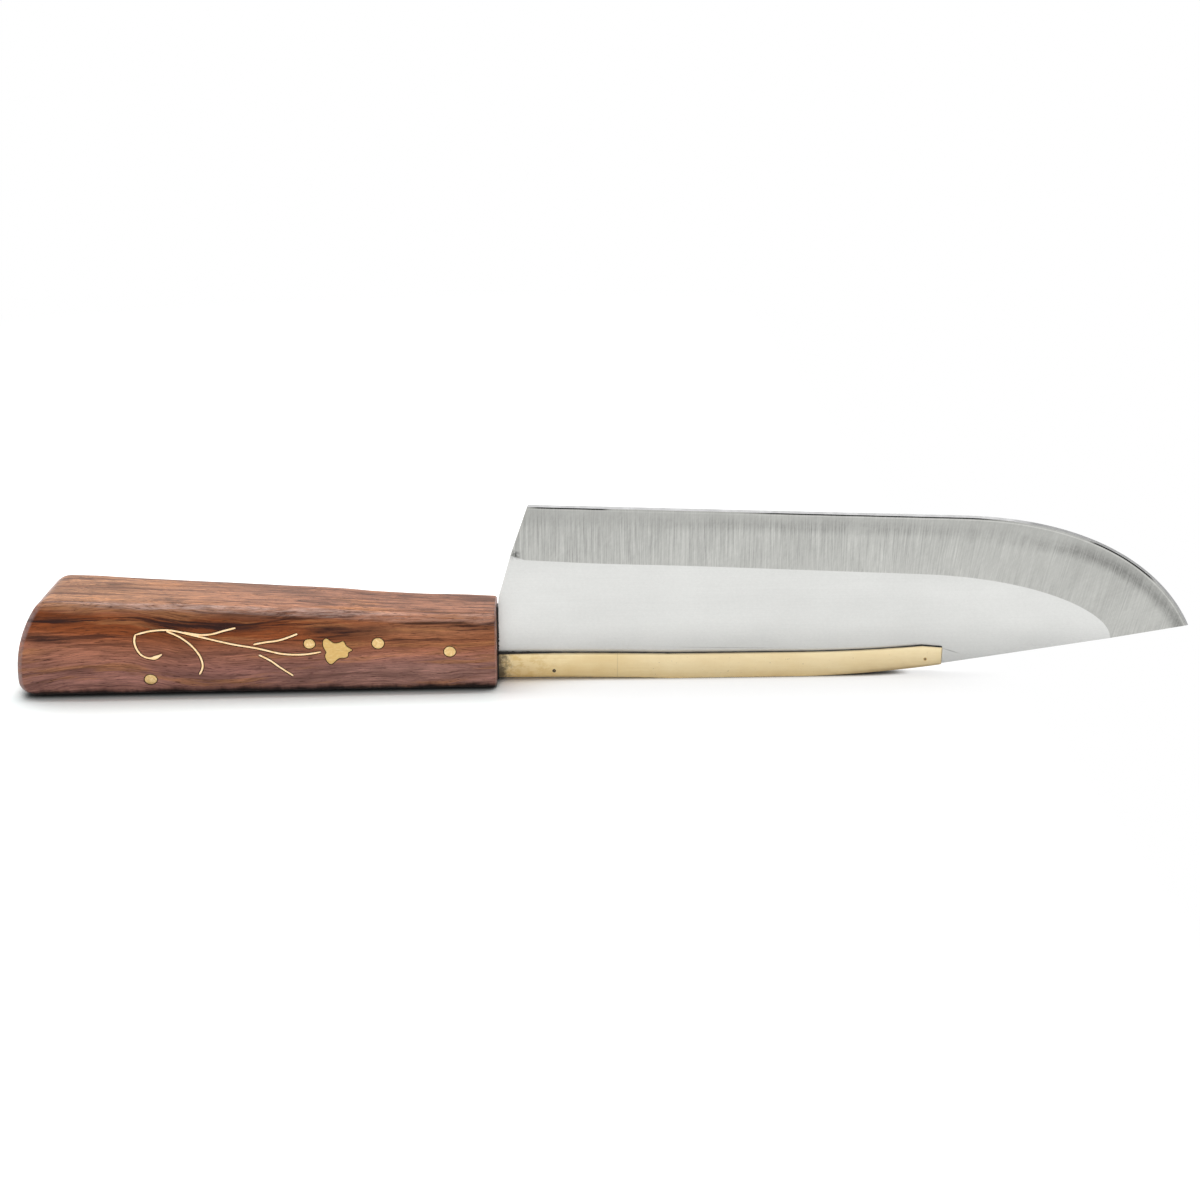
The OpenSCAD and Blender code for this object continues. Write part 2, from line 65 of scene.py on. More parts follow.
# Sizes that the solids give
handle_low, handle_high = box("handle")
blade_low, blade_high = box("blade")
bar_low, bar_high = box("spine_bar_near")
BUTT_X = handle_low.x
FRONT_X = handle_high.x
BUTT_H = handle_high.z
HANDLE_L = FRONT_X - BUTT_X
HEEL_X = bar_low.x
BAR_L = bar_high.x - bar_low.x
TIP_X = blade_high.x
BLADE_L = TIP_X - HEEL_X
BLADE_T = blade_high.y - blade_low.y
EDGE_HEEL_H = blade_high.z
TANG_END_X = blade_low.x

# Handle
BUTT_W = 26.4
FRONT_W = 21.6
BEND_H = 23.9
FRONT_H = 22.7
BEND_BACK = 32
BUTT_SLANT = 8.5
RIDGE_R = 2.2
RIDGE_FRONT_R = 4
SOLE_R = 3.7
HEEL_R = 5
BUTT_ROUND = 2.4
FRONT_BEVEL = 0.4
CORNER_CUT = 2.6
SUPPORT = 0.35

# Curves of the butt and of the top, in the side view
BUTT_CURVE = [
    (BUTT_X, BUTT_H * 0.2),
    (BUTT_X, BUTT_H * 0.45),
    (BUTT_X + BUTT_SLANT * 0.26, BUTT_H * 0.72),
    (BUTT_X + BUTT_SLANT, BUTT_H),
]
TOP_CURVE = [
    (BUTT_X + BUTT_SLANT, BUTT_H),
    (BUTT_X + HANDLE_L * 0.16, BUTT_H - 0.42),
    (BUTT_X + HANDLE_L * 0.38, (3 * BUTT_H + 2 * BEND_H) / 5),
    (FRONT_X - BEND_BACK - 16, BEND_H + 1.3),
    (FRONT_X - BEND_BACK, BEND_H),
    (FRONT_X - FRONT_BEVEL, FRONT_H),
]

# Blade and its spine
EDGE_CURVE_H = 48.1
EDGE_CURVE_L = 69.5
TIP_H = 13.9
GRIND_HEEL_H = 36.5
GRIND_CURVE_H = 30.8
GRIND_CURVE_L = 80
GRIND_END_L = 23.4
GRIND_END_U = BLADE_L - GRIND_END_L
EDGE_STRAIGHT_PULL = 41.9
EDGE_TIP_PULL = 16.7
EDGE_TIP_ANGLE = 117.5
GRIND_STRAIGHT_PULL = 35
GRIND_END_PULL = 7.4
GRIND_HOOK_AT = 5
GRIND_HOOK_L = 3
GRIND_HOOK_H = 1.2
GRIND_SAG_AT = 24
GRIND_SAG_L = 18
GRIND_SAG_H = 0.3
EDGE_BEVEL = 0.6
EDGE_BEVEL_T = 0.7
EDGE_T = 0.1
HEEL_LEAN = 9
HEEL_TURN_H = 24.5
SPINE_RISE = 1
REST_START = 50
REST_END = 88
CLIP_START = 131
TANG_H = 18.5
TANG_END_H = 9.8
TANG_STRAIGHT_L = 56
TANG_INSET = 0.3
TANG_TOP = TANG_INSET + TANG_H
SLOT_GAP = 0.25
CUT_OVER = 2

# Bars along the spine
BAR_H = 7.4
BAR_HEEL_W = 7
BAR_TIP_W = 5
BAR_TOP_FOLLOW = 0.65
BAR_CORNER_L = 6
BAR_CORNER_H = 1.1
BAR_WORN = 0.18
BAR_FILED_H = 0.8
BAR_FILED_MORE = 0.5
BAR_FILED_FROM_TO = (88, 112)
BAR_FILED_END_FROM_TO = (BAR_L + 1, BAR_L - 16)
BAR_END_BEVEL = 0.3

# Inlay, measured from the front of the handle and from the table
WIRE_W = 0.6
LEAF_W = 1.1
GROOVE_GAP = 0.22
GROOVE_DEPTH = 0.5
HOOK = [
    (-101.5, 18.8), (-101.9, 16.6), (-101.4, 14.4), (-100.2, 12.6), (-98.3, 11.7), (-96.5, 11.8),
    (-94.5, 12.8)
]
STEM = [
    (-101.5, 18.8), (-96.7, 19.9), (-91.2, 19.9), (-83.7, 17.9), (-74.7, 15.5), (-67.7, 14.1),
    (-60.7, 12.3), (-54.7, 12), (-49.7, 12.7)
]
UPPER_BRANCH = [(-87.9, 19.3), (-83.7, 18.5), (-80.2, 18.6), (-76.9, 19.5), (-73.3, 20.4)]
LOWER_BRANCH = [
    (-92.7, 19.7), (-89.3, 18), (-86.2, 15.4), (-84.1, 12.4), (-83.4, 10), (-83.5, 8.3), (-84.4, 6.5)
]
UPPER_TENDRIL = [(-68.6, 15.3), (-65.2, 15.9), (-61.9, 16.3), (-58.9, 17.2), (-56.1, 18.3)]
LOWER_TENDRIL = [(-67.3, 12.1), (-64.3, 10.4), (-61.7, 8.3), (-58, 5.6)]
FLOWER = [
    (-48.2, 12.6), (-49, 14.4), (-48.9, 16.1), (-48, 16.7), (-47, 16), (-45.9, 15.3), (-44.5, 15.4),
    (-43.3, 15.8), (-42.7, 14.7), (-42.1, 14), (-40.9, 13.1), (-42, 12.4), (-42.2, 11.3), (-42.9, 10.8),
    (-44.6, 10.7), (-45.7, 9.9), (-47, 8.9), (-48.1, 9.7), (-48.6, 11.3)
]
WIRE_STEPS = 10
WIRE_END_W = 0.55
LEAF_FROM = 0.68
LEAF_SHARE = 0.3
FLOWER_STEPS = 4

# Cross-sections: share of the half width, and height over the wood
WIRE_BOTTOM = -GROOVE_DEPTH + 0.05
WIRE_PROFILE = [
    (-1, WIRE_BOTTOM), (-1, -0.02), (-0.8, 0.04), (-0.4, 0.075), (0, 0.085), (0.4, 0.075), (0.8, 0.04),
    (1, -0.02), (1, WIRE_BOTTOM)
]
GROOVE_PROFILE = [(-1, -GROOVE_DEPTH), (-1, 1), (1, 1), (1, -GROOVE_DEPTH)]
PIN_DOME = [(0.3, 0.045), (0.6, 0.05), (0.85, 0.045), (0.95, 0.02), (1, -0.04)]

# Layers of the flower and of its bed: growth of the outline, and height over the wood
FLOWER_LAYERS = [(0, WIRE_BOTTOM), (0, -0.02), (-0.1, 0.04), (-0.3, 0.065)]
BED_LAYERS = [(GROOVE_GAP, -GROOVE_DEPTH), (GROOVE_GAP, 1)]

# Width and height of the peened pin ends
PIN_STEPS = 48
PIN_HEADS = {
    "butt_pin": (3.49, 2.9),
    "middle_pin": (3.2, 2.9),
    "flower_pin": (3.37, 3.17),
    "front_pin": (3.31, 3.08),
}

# Shares of a rivet's radius between which its dark ring lies
RIVET_RINGS = {"heel_rivet": (0.2, 0.95), "tip_rivet": (0.1, 0.5)}

# Camera, in metres, with its lens and sensor in millimetres
CAMERA_PLACE = (-0.01828, -0.45772, 0.18115)
CAMERA_TARGET = (-0.0039, 0, 0.02347)
LENS = 50
SENSOR = 36
NEAREST_SEEN = 0.01

# Table, in metres. FROM_TO holds the two values between which something changes
TABLE_SIZE = 8
TABLE_STEPS = 8
TABLE_WHITE = 0.9
TABLE_WHITE_SEEN = 1.22
WHITE_FROM_TO = (0.35, 0.75)

# Soft shadow where the handle and the bars touch the table
CONTACT_REACH = 0.0055
CONTACT_TONE = 0.1
CONTACT_OPEN_FROM_TO = (0.2, 0.85)
BAR_CONTACT_REACH = 0.002
BAR_CONTACT_TONES = (0.9, 0.12)
BAR_CONTACT_FROM_TO = (-0.036, -0.031)
BAR_TOUCH_FROM_TO = (-0.01, 0.035)

# Painted shade: behind the knife the gloss sees a darker table, like the knife's shadow in front.
# Beside the handle the table is painted a little less red, against the warm light that the wood throws
# on it
BEHIND_FROM_TO = (0.01, 0.12)
BEHIND_TONES = (0.5, 0.95)
COOL_TINT = 0.06
COOL_TINT_FROM_TO = (0.02, 0.034)

# Open table near the blade is lifted to white
LIFT = 0.7
LIFT_FROM_TO = (-0.036, 0)
LIFT_OPEN_FROM_TO = (0.5, 0.95)
WHITE_RIGHT_FROM_TO = (0.085, 0.12)

# Strength of the light from all round
WORLD_FILL = 0.42

# Lamps: name, place, target and size in metres, power in watts
LAMPS = [
    ("strip", (0, 0.1, 1), (0, 0.1, 0), (1.6, 0.05), 1.6),
    ("overhead", (0, 0.4, 0.95), (0, 0, 0), (1.7, 0.7), 11.5),
]


# Curves


def bezier(points, t):
    """Point on a cubic curve."""
    a, b, c, d = (Vector(p) for p in points)
    s = 1 - t
    return s**3 * a + 3 * s * s * t * b + 3 * s * t * t * c + t**3 * d


def smooth(points, steps):
    """Smooth curve through points, with a number of steps in each stretch."""
    p = [Vector(q) for q in points]
    made = []
    for i in range(len(p) - 1):
        a, b, c, d = p[max(i - 1, 0)], p[i], p[i + 1], p[min(i + 2, len(p) - 1)]
        for k in range(steps):
            t = k / steps
            made.append(0.5 * (2 * b + (c - a) * t + (2 * a - 5 * b + 4 * c - d) * t * t
                               + (3 * b - a - 3 * c + d) * t * t * t))
    made.append(p[-1])
    return made


def between(a, b, t):
    return a + (b - a) * t


def towards(degrees):
    """Direction at an angle from +X."""
    a = math.radians(degrees)
    return Vector((math.cos(a), math.sin(a)))


def left_of(a, b):
    """Direction to the left of the way from one point to another."""
    t = (b - a).normalized()
    return Vector((-t.y, t.x))


def soft_step(low, high, x):
    t = min(1, max(0, (x - low) / (high - low)))
    return t * t * (3 - 2 * t)


def wobble(x, y, z, size, seed):
    """Smooth irregularity from -1 to 1, with bumps of about the given size."""
    return noise.noise(Vector((x / size + seed, y / size - seed, z / size + 2 * seed)))


def spine_h(u):
    """Height of the blade's spine at a distance from the heel."""
    run = CLIP_START - REST_END
    bend = TIP_H / (run**2 + 2 * run * (BLADE_L - CLIP_START))
    if u < REST_START:
        return SPINE_RISE * (1 - (u / REST_START) ** 2)
    if u < REST_END:
        return 0
    if u < CLIP_START:
        return bend * (u - REST_END) ** 2
    return bend * run * (2 * u - CLIP_START - REST_END)


def heel_at(z):
    return HEEL_X + HEEL_LEAN * (z - HEEL_TURN_H) / (EDGE_HEEL_H - HEEL_TURN_H)


def bar_top_h(u):
    corner = max(0, u - BAR_L + BAR_CORNER_L) / BAR_CORNER_L
    return BAR_H + BAR_TOP_FOLLOW * spine_h(u) - BAR_CORNER_H * corner


def bar_half_w(u):
    return between(BAR_HEEL_W, BAR_TIP_W, u / BAR_L) / 2


def handle_half_w(x):
    return between(BUTT_W, FRONT_W, (x - BUTT_X) / HANDLE_L) / 2


# Meshes


def make_mesh(name, points, faces, materials, material_of=None, smooth_angle=30):
    """Object from points in millimetres. material_of has the number of each face's material."""
    mesh = bpy.data.meshes.new(name)
    mesh.from_pydata([Vector(p) * MM for p in points], [], faces)
    for m in materials:
        mesh.materials.append(m)
    if material_of:
        mesh.polygons.foreach_set("material_index", material_of)
    mesh.validate()
    piece = linked(name, mesh)
    finish_shading(piece, smooth_angle)
    return piece


def linked(name, data):
    """New object in the scene."""
    made = bpy.data.objects.new(name, data)
    bpy.context.scene.collection.objects.link(made)
    return made


def finish_shading(piece, smooth_angle):
    mesh = piece.data
    made = bmesh.new()
    made.from_mesh(mesh)
    bmesh.ops.recalc_face_normals(made, faces=made.faces)
    made.to_mesh(mesh)
    made.free()
    mesh.shade_smooth()
    mesh.set_sharp_from_angle(angle=math.radians(smooth_angle))


def loft(rings):
    """Points and faces of a solid through rings that have the same number of points."""
    n = len(rings[0])
    points = [p for ring in rings for p in ring]
    faces = []
    for i in range(len(rings) - 1):
        for k in range(n):
            a, b = i * n + k, i * n + (k + 1) % n
            faces.append((a, b, b + n, a + n))
    last = (len(rings) - 1) * n
    faces.append(tuple(range(n - 1, -1, -1)))
    faces.append(tuple(range(last, last + n)))
    return points, faces


def solid(name, rings, materials, smooth_angle=30):
    """Object through rings of points in millimetres."""
    return make_mesh(name, *loft(rings), materials, smooth_angle=smooth_angle)


def across(name, outline, half_width):
    """Cutter from side to side, from an outline in side view."""
    rings = [[Vector((q.x, y, q.y)) for q in outline] for y in (-half_width, half_width)]
    return solid(name, rings, [])


def grid(rows, n):
    """Faces between rows of n points each."""
    corners = [row * n + i for row in range(rows - 1) for i in range(n - 1)]
    return [(a, a + 1, a + 1 + n, a + n) for a in corners]


def cut(piece, cutter):
    """Cuts a solid out of a piece and removes the cutter."""
    bpy.context.view_layer.objects.active = piece
    modifier = piece.modifiers.new("cut", "BOOLEAN")
    modifier.operation = "DIFFERENCE"
    modifier.solver = "EXACT"
    modifier.object = cutter
    bpy.context.view_layer.update()
    with bpy.context.temp_override(object=piece, active_object=piece):
        bpy.ops.object.modifier_apply(modifier=modifier.name)
    bpy.data.objects.remove(cutter)


def dress(piece, node):
    """The piece stands for a solid, which is hidden, and hangs under the root body."""
    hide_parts(node)
    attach(piece, "root")
    return piece


# Shader nodes


class Value:
    """A number that nodes work out. Arithmetic with it adds the nodes that do the sum."""

    def __init__(self, nodes, socket):
        self.nodes = nodes
        self.socket = socket

    def __add__(self, other):
        return self.nodes.math("ADD", self, other)

    def __sub__(self, other):
        return self.nodes.math("SUBTRACT", self, other)

    def __rsub__(self, other):
        return self.nodes.math("SUBTRACT", other, self)

    def __mul__(self, other):
        return self.nodes.math("MULTIPLY", self, other)

    def __truediv__(self, other):
        return self.nodes.math("DIVIDE", self, other)

    def __abs__(self):
        return self.nodes.math("ABSOLUTE", self)

    def eased(self, low, high, to_low=0, to_high=1, kind="SMOOTHSTEP"):
        """The value taken from one range to another with soft ends, and held beyond them."""
        ends = (low, high, to_low, to_high)
        node = self.nodes.add("ShaderNodeMapRange", self, *ends, interpolation_type=kind)
        return Value(self.nodes, node.outputs[0])

    def straight(self, low, high, to_low, to_high):
        """The value taken from one range to another in a straight line, and held beyond its ends."""
        return self.eased(low, high, to_low, to_high, "LINEAR")

    def hump(self, middle, half_width):
        """1 at the middle, 0 beyond the half width on either side."""
        return abs(self - middle).eased(0, half_width, 1, 0)


class Nodes:
    """Short names for the nodes of a material or of the world."""

    def __init__(self, tree):
        self.tree = tree

    def add(self, kind, *values, **settings):
        """New node, with values for its first inputs."""
        node = self.tree.nodes.new(kind)
        for key, value in settings.items():
            setattr(node, key, value)
        for socket, value in zip(node.inputs, values):
            self.put(socket, value)
        return node

    def put(self, socket, value):
        """Links a node's output to a socket, or sets a plain value there."""
        if isinstance(value, Value):
            value = value.socket
        if isinstance(value, bpy.types.NodeSocket):
            self.tree.links.new(value, socket)
        else:
            socket.default_value = value

    def fill(self, node, **values):
        """Values for a node's inputs by name, with _ for a space."""
        for name, value in values.items():
            self.put(node.inputs[name.replace("_", " ")], value)

    def math(self, operation, *values):
        return Value(self, self.add("ShaderNodeMath", *values, operation=operation).outputs[0])

    def largest(self, *values):
        most = values[0]
        for value in values[1:]:
            most = self.math("MAXIMUM", most, value)
        return most

    def part(self, name, vector):
        """X, Y or Z of a vector."""
        return Value(self, self.add("ShaderNodeSeparateXYZ", vector).outputs[name])

    def join(self, x, y, z):
        return self.add("ShaderNodeCombineXYZ", x, y, z).outputs[0]

    def ray(self, name):
        """1 for the rays of a kind, 0 for others."""
        return Value(self, self.add("ShaderNodeLightPath").outputs[name])

    def seen(self):
        """1 where the camera, a gloss or glass looks, 0 where only light falls."""
        kinds = ("Is Camera Ray", "Is Glossy Ray", "Is Transmission Ray")
        return self.largest(*[self.ray(kind) for kind in kinds])


class Paint(Nodes):
    """A material with its pattern nodes. Places are in millimetres."""

    def __init__(self, name):
        self.material = bpy.data.materials.new(name)
        self.material.use_nodes = True
        super().__init__(self.material.node_tree)
        self.shader = self.tree.nodes["Principled BSDF"]
        place = self.add("ShaderNodeTexCoord").outputs["Object"]
        scale = self.add("ShaderNodeVectorMath", place, operation="SCALE")
        self.fill(scale, Scale=1 / MM)
        self.place = scale.outputs["Vector"]
        self.x, self.y, self.z = (self.part(name, self.place) for name in "XYZ")
        self.colour = None

    def facing(self, name):
        """One part of the direction that the surface faces."""
        return self.part(name, self.add("ShaderNodeTexCoord").outputs["Normal"])

    def attribute(self, name):
        return Value(self, self.add("ShaderNodeAttribute", attribute_name=name).outputs["Fac"])

    def noise(self, pitch, detail=3, roughness=0.5, place=None, start=(0, 0, 0)):
        """Cloudy pattern of 0 to 1 with a number of lumps per millimetre along each axis."""
        stretch = (place or self.place, pitch, start)
        spread = self.add("ShaderNodeVectorMath", *stretch, operation="MULTIPLY_ADD")
        node = self.add("ShaderNodeTexNoise", spread.outputs["Vector"])
        self.fill(node, Scale=1, Detail=detail, Roughness=roughness)
        return Value(self, node.outputs["Fac"])

    def spot(self, middle, half_size, across, upright):
        """1 at a place, 0 beyond the half sizes round it."""
        return across.hump(middle[0], half_size[0]) * upright.hump(middle[1], half_size[1])

    def ramp(self, value, stops):
        node = self.add("ShaderNodeValToRGB", value)
        ramp = node.color_ramp
        while len(ramp.elements) < len(stops):
            ramp.elements.new(1)
        for element, (place, colour) in zip(ramp.elements, stops):
            element.position = place
            element.color = (*colour, 1)
        return node.outputs["Color"]

    def mix(self, share, a, b, blend="MIX"):
        node = self.add("ShaderNodeMix", share, data_type="RGBA", blend_type=blend)
        for socket, value in zip(node.inputs[6:8], (a, b)):
            self.put(socket, (*value, 1) if isinstance(value, tuple) else value)
        return node.outputs[2]

    def lay(self, share, colour):
        """Covers a share of the colour so far with another."""
        self.colour = self.mix(share, self.colour, colour)

    def shaded(self, colour, tone):
        """A colour made lighter or darker by a tone round 1."""
        return self.mix(1, colour, self.join(tone, tone, tone), "MULTIPLY")

    def bump(self, height, distance, strength):
        node = self.add("ShaderNodeBump")
        self.fill(node, Strength=strength, Distance=distance * MM, Height=height)
        return node.outputs[0]

    def finish(self, colour, roughness, **others):
        """Fills the shader and gives the material."""
        self.fill(self.shader, Base_Color=colour, Roughness=roughness, **others)
        return self.material


# Wood. Levels are shares of the handle's height, lengths are measured from its front

# Colour at each level
WOOD_LEVELS = [
    (0.06, (0.4, 0.19, 0.152)),
    (0.3, (0.4, 0.18, 0.145)),
    (0.46, (0.49, 0.2, 0.13)),
    (0.6, (0.39, 0.13, 0.06)),
    (0.7, (0.3, 0.078, 0.022)),
    (0.88, (0.3, 0.078, 0.022)),
    (0.98, (0.36, 0.162, 0.098)),
]

# Golden, tan, red and dusty areas: middle, half size, share and colour
WOOD_AREAS = [
    ((-18, 0.8), (46, 0.3), 0.9, (0.46, 0.188, 0.092)),
    ((-128, 1.04), (90, 0.16), 0.85, (0.48, 0.237, 0.122)),
    ((-118, 0.45), (30, 0.3), 0.5, (0.4, 0.165, 0.1)),
    ((-22, 0.18), (56, 0.34), 0.85, (0.455, 0.238, 0.192)),
]

# Dark bands: middle and half size
WOOD_BANDS = [
    ((-127, 0.6), (16, 0.08)),
    ((-122, 0.82), (15, 0.06)),
    ((-78, 0.8), (30, 0.1)),
    ((-47, 0.81), (20, 0.07)),
]

WOOD_ORANGE = (0.53, 0.225, 0.09)
WOOD_STREAK = (0.045, 0.014, 0.01)
WOOD_BAND = (0.045, 0.016, 0.012)
WOOD_TOP_LINE = (0.11, 0.042, 0.026)
# Painted highlight along the ridge
WOOD_RIDGE_HIGHLIGHT = (0.58, 0.385, 0.325)
WOOD_PORE = (0.035, 0.013, 0.009)
# Painted sheen on the front bevel and the slanted butt
WOOD_EDGE_SHEEN = (0.42, 0.31, 0.3)
WOOD_GROOVE = (0.03, 0.012, 0.008)
# Painted shade along the sole
WOOD_SOLE_SHADE = (0.014, 0.008, 0.007)


def rosewood():
    """Wood with its grain along X: purple brown below, orange under the ridge, paler on top, with
    painted highlights on the ridge and edges and painted shade along the sole.
    """
    p = Paint("rosewood")
    along = p.x - FRONT_X
    level_height = FRONT_H - along * ((BUTT_H - FRONT_H) / HANDLE_L)
    sway = p.noise((0.02, 0.03, 0.05)).straight(0.25, 0.75, -2.2, 2.2)
    arch = along.hump(-108, 34) * 3.4
    level = (p.z + sway * 0.7) / level_height
    grain = p.join(p.x, p.y, p.z + sway - arch)
    above_ridge = level.eased(0.93, 1)

    p.colour = p.ramp(level, WOOD_LEVELS)
    for middle, half_size, share, area in WOOD_AREAS:
        p.lay(p.spot(middle, half_size, along, level) * share, area)
    broad = p.noise((0.03, 0.1, 0.24), 4, 0.55, grain)
    p.colour = p.shaded(p.colour, broad.straight(0.35, 0.65, 0.72, 1.28))
    orange = p.noise((0.035, 0.2, 0.4), 4, 0.6, grain, (77, 3, 19))
    p.lay(orange.eased(0.52, 0.66, 0, 0.55), WOOD_ORANGE)

    streaks = p.noise((0.022, 0.16, 0.5), 7, 0.68, grain, (31, 7, 3)).eased(0.51, 0.6)
    dark_zone = p.largest(level.hump(0.8, 0.3).straight(0, 1, 0.4, 1), above_ridge * 0.55)
    p.lay(streaks * dark_zone, WOOD_STREAK)
    bands = p.largest(*[p.spot(middle, half_size, along, level) for middle, half_size in WOOD_BANDS])
    ragged = p.noise((0.07, 0.6, 1.2), 5, 0.75, grain).eased(0.39, 0.55)
    p.lay(bands * ragged * 0.9, WOOD_BAND)
    top_lines = p.noise((0.018, 0.8, 0.3), 7, 0.75).eased(0.49, 0.6)
    p.lay(top_lines * above_ridge * 0.8, WOOD_TOP_LINE)

    sideways = abs(p.facing("Y"))
    lengthways = abs(p.facing("X"))
    upward = p.facing("Z")
    # Painted highlight: a broken pale band on the rounded ridge, where the lamp above shines
    ridge = (sideways * upward).eased(0.18, 0.48)
    ridge_highlight = p.noise((0.07, 0.9, 1.3), 6, 0.8).eased(0.38, 0.62, 0.05, 0.95)
    ridge_highlight = ridge_highlight * along.eased(-70, -15, 1, 0.45) * along.eased(-126, -104, 0.3, 1)
    p.lay(ridge * ridge_highlight, WOOD_RIDGE_HIGHLIGHT)

    fibres = p.noise((0.14, 1.6, 2.9), 5, 0.75, grain)
    p.colour = p.shaded(p.colour, fibres.straight(0.36, 0.64, 0.62, 1.38))
    top_fibres = p.noise((0.07, 2, 1), 6, 0.8).eased(0.38, 0.62, -0.26, 0.24)
    p.colour = p.shaded(p.colour, top_fibres * upward.eased(0.6, 0.95) + 1)
    pore = p.noise((0.34, 2.4, 5.2), 3, 0.5, grain, (0, 9, 4)).eased(0.61, 0.68)
    p.lay(pore * 0.75, WOOD_PORE)

    # Painted reflection: a pale lilac sheen on the front bevel and on the slanted arris of the butt,
    # broken up by noise
    corner = (sideways * lengthways).eased(0.15, 0.42) * along.eased(-5, -1, 0.55, 0.3)
    slanted = (lengthways * upward).eased(0.3, 0.46, 0, 0.55)
    patchy = p.noise((0.3, 0.3, 0.45), 5, 0.75).eased(0.36, 0.64, 0.35, 1.3)
    p.lay(p.largest(corner, slanted) * patchy, WOOD_EDGE_SHEEN)

    half_w = FRONT_W / 2 - along * ((BUTT_W - FRONT_W) / 2 / HANDLE_L)
    sunk = (half_w - abs(p.y)).eased(0.06, 0.22)
    inlaid = p.z.hump(12.7, 8.9).straight(0, 0.025, 0, 1)
    inlaid = inlaid * along.hump(-66, 62).straight(0, 0.025, 0, 1)
    p.lay(sunk * inlaid * 0.9, WOOD_GROOVE)

    # Painted shade: near black on the rounded sole where the handle meets the table, weaker on the flat
    # underside
    uneven = p.noise((0.09, 0, 0), 4, 0.7).straight(0.3, 0.7, -1, 1.2)
    sole_shade = (p.z - uneven).eased(0.8, 2.9, 1, 0) * upward.eased(-0.99, -0.85, 0.45, 0.94)
    p.lay(sole_shade, WOOD_SOLE_SHADE)
    roughness = fibres.straight(0.3, 0.7, 0.27, 0.4)
    relief = p.bump(fibres * 0.6 - pore, 0.05, 0.5)
    return p.finish(p.colour, roughness, Normal=relief, Specular_IOR_Level=0.1)


# Steel


FLAT_TINT = (0.795, 0.8, 0.78)
BEVEL_TINT = (0.82, 0.824, 0.785)


def heel_smudge(p):
    """Dark smudge at the start of the grind line."""
    uneven = p.noise((0.9, 0.9, 0.9)).eased(0.35, 0.6)
    return p.spot((HEEL_X + 5.2, 37.8), (2.4, 2.2), p.x, p.z) * uneven


def flat_steel():
    """Bright flats with faint scratches, a long one near the bar and a scribed one past it."""
    p = Paint("flat_steel")
    travel = p.x - HEEL_X
    scratches = p.noise((0.035, 1, 3), 5, 0.7)
    clouds = p.noise((0.03, 0.05, 0.07), 2)
    mottle = p.noise((1.3, 1.3, 1.9), 4, 0.75)
    tone = scratches.straight(0.3, 0.7, -0.018, 0.018) + clouds.straight(0.3, 0.7, 0.695, 0.75)
    # The p.z term is painted shade: the flat darkens towards the table, where it mirrors the shadow
    # under the knife
    tone += mottle.straight(0.3, 0.7, -0.025, 0.025) - p.z.eased(9, 17, 0.07, 0)
    above_scratch = p.z - travel.straight(41, 87, 9.3, 8.4)
    long_scratch = above_scratch.hump(0, 0.24) * travel.hump(64, 25)
    above_scribed = p.z - travel.straight(130.5, 136, 7.8, 6)
    scribed = above_scribed.hump(0, 0.24) * travel.hump(133, 3.6)
    tone -= long_scratch * 0.16 + p.largest(scribed, heel_smudge(p)) * 0.34
    roughness = scratches.straight(0.3, 0.7, 0.3, 0.38)
    relief = p.bump(scratches, 0.006, 0.35)
    return p.finish(p.shaded(FLAT_TINT, tone), roughness, Normal=relief, Metallic=1)


def bevel_steel():
    """Duller bevel with scratches across it and a soft dark band that widens to the tip."""
    p = Paint("bevel_steel")
    travel = p.attribute("edge_travel")
    away = p.attribute("edge_distance")
    lay = p.join(travel, away, 0)
    leaning = p.join(travel + away * 0.35, away, 7)
    lean = p.x.eased(60, 140, 0, 0.24) * p.z
    fine = p.noise((2.5, 0.06, 1), 4, 0.7, p.join(p.x - lean, p.z, 0))
    cross = p.noise((1.2, 0.5, 1), 5, 0.8, leaning)
    broad = p.noise((0.12, 0.05, 1), 4, 0.6, lay)
    patches = p.noise((0.05, 0.3, 1), 5, 0.7, lay)

    strength = away.eased(2, 7, 0.4, 1) * travel.eased(90, 150, 1, 0.5)
    tone = fine.straight(0.25, 0.75, -0.19, 0.19) * strength + broad.straight(0.3, 0.7, 0.5, 0.575)
    tone += cross.straight(0.3, 0.7, -0.04, 0.04)
    tone += travel.straight(0, 170, -0.03, 0.025) - travel.eased(105, 180, 0, 0.06)
    tone -= away.eased(1, 7, 0.04, 0) + heel_smudge(p) * 0.3

    middle = travel.eased(110, 142, 4.4, 5.6) - travel.straight(148, 202, 0, 3)
    from_middle = abs(away - middle) / travel.eased(60, 130, 3, 3.4)
    along = p.largest(travel.hump(88, 75), travel.eased(120, 165))
    band = from_middle.eased(0, 1, 1, 0) * patches.eased(0.3, 0.66, 0.5, 1)
    band *= travel.eased(120, 190, 1, 1.9) * along.eased(0, 1, 0.35, 1)
    tone -= band * fine.straight(0.4, 0.6, 0.13, 0.08)

    # Painted reflections: a dark line along the foot of the honed bevel on some stretches, and a
    # painted highlight just above it
    foot_reach = p.largest(travel.hump(12, 14), travel.hump(100, 46), travel.hump(176, 15))
    foot = away.hump(EDGE_BEVEL + 0.12, 0.42) * foot_reach.eased(0, 0.35, 0, 0.9)
    gleam = away.hump(EDGE_BEVEL + 0.62, 0.3) * travel.eased(55, 140, 0.06, 0.14)
    tone += gleam - foot * 0.62
    roughness = fine.straight(0.3, 0.7, 0.36, 0.46)
    return p.finish(p.shaded(BEVEL_TINT, tone), roughness, Normal=p.bump(fine, 0.008, 0.4), Metallic=1)


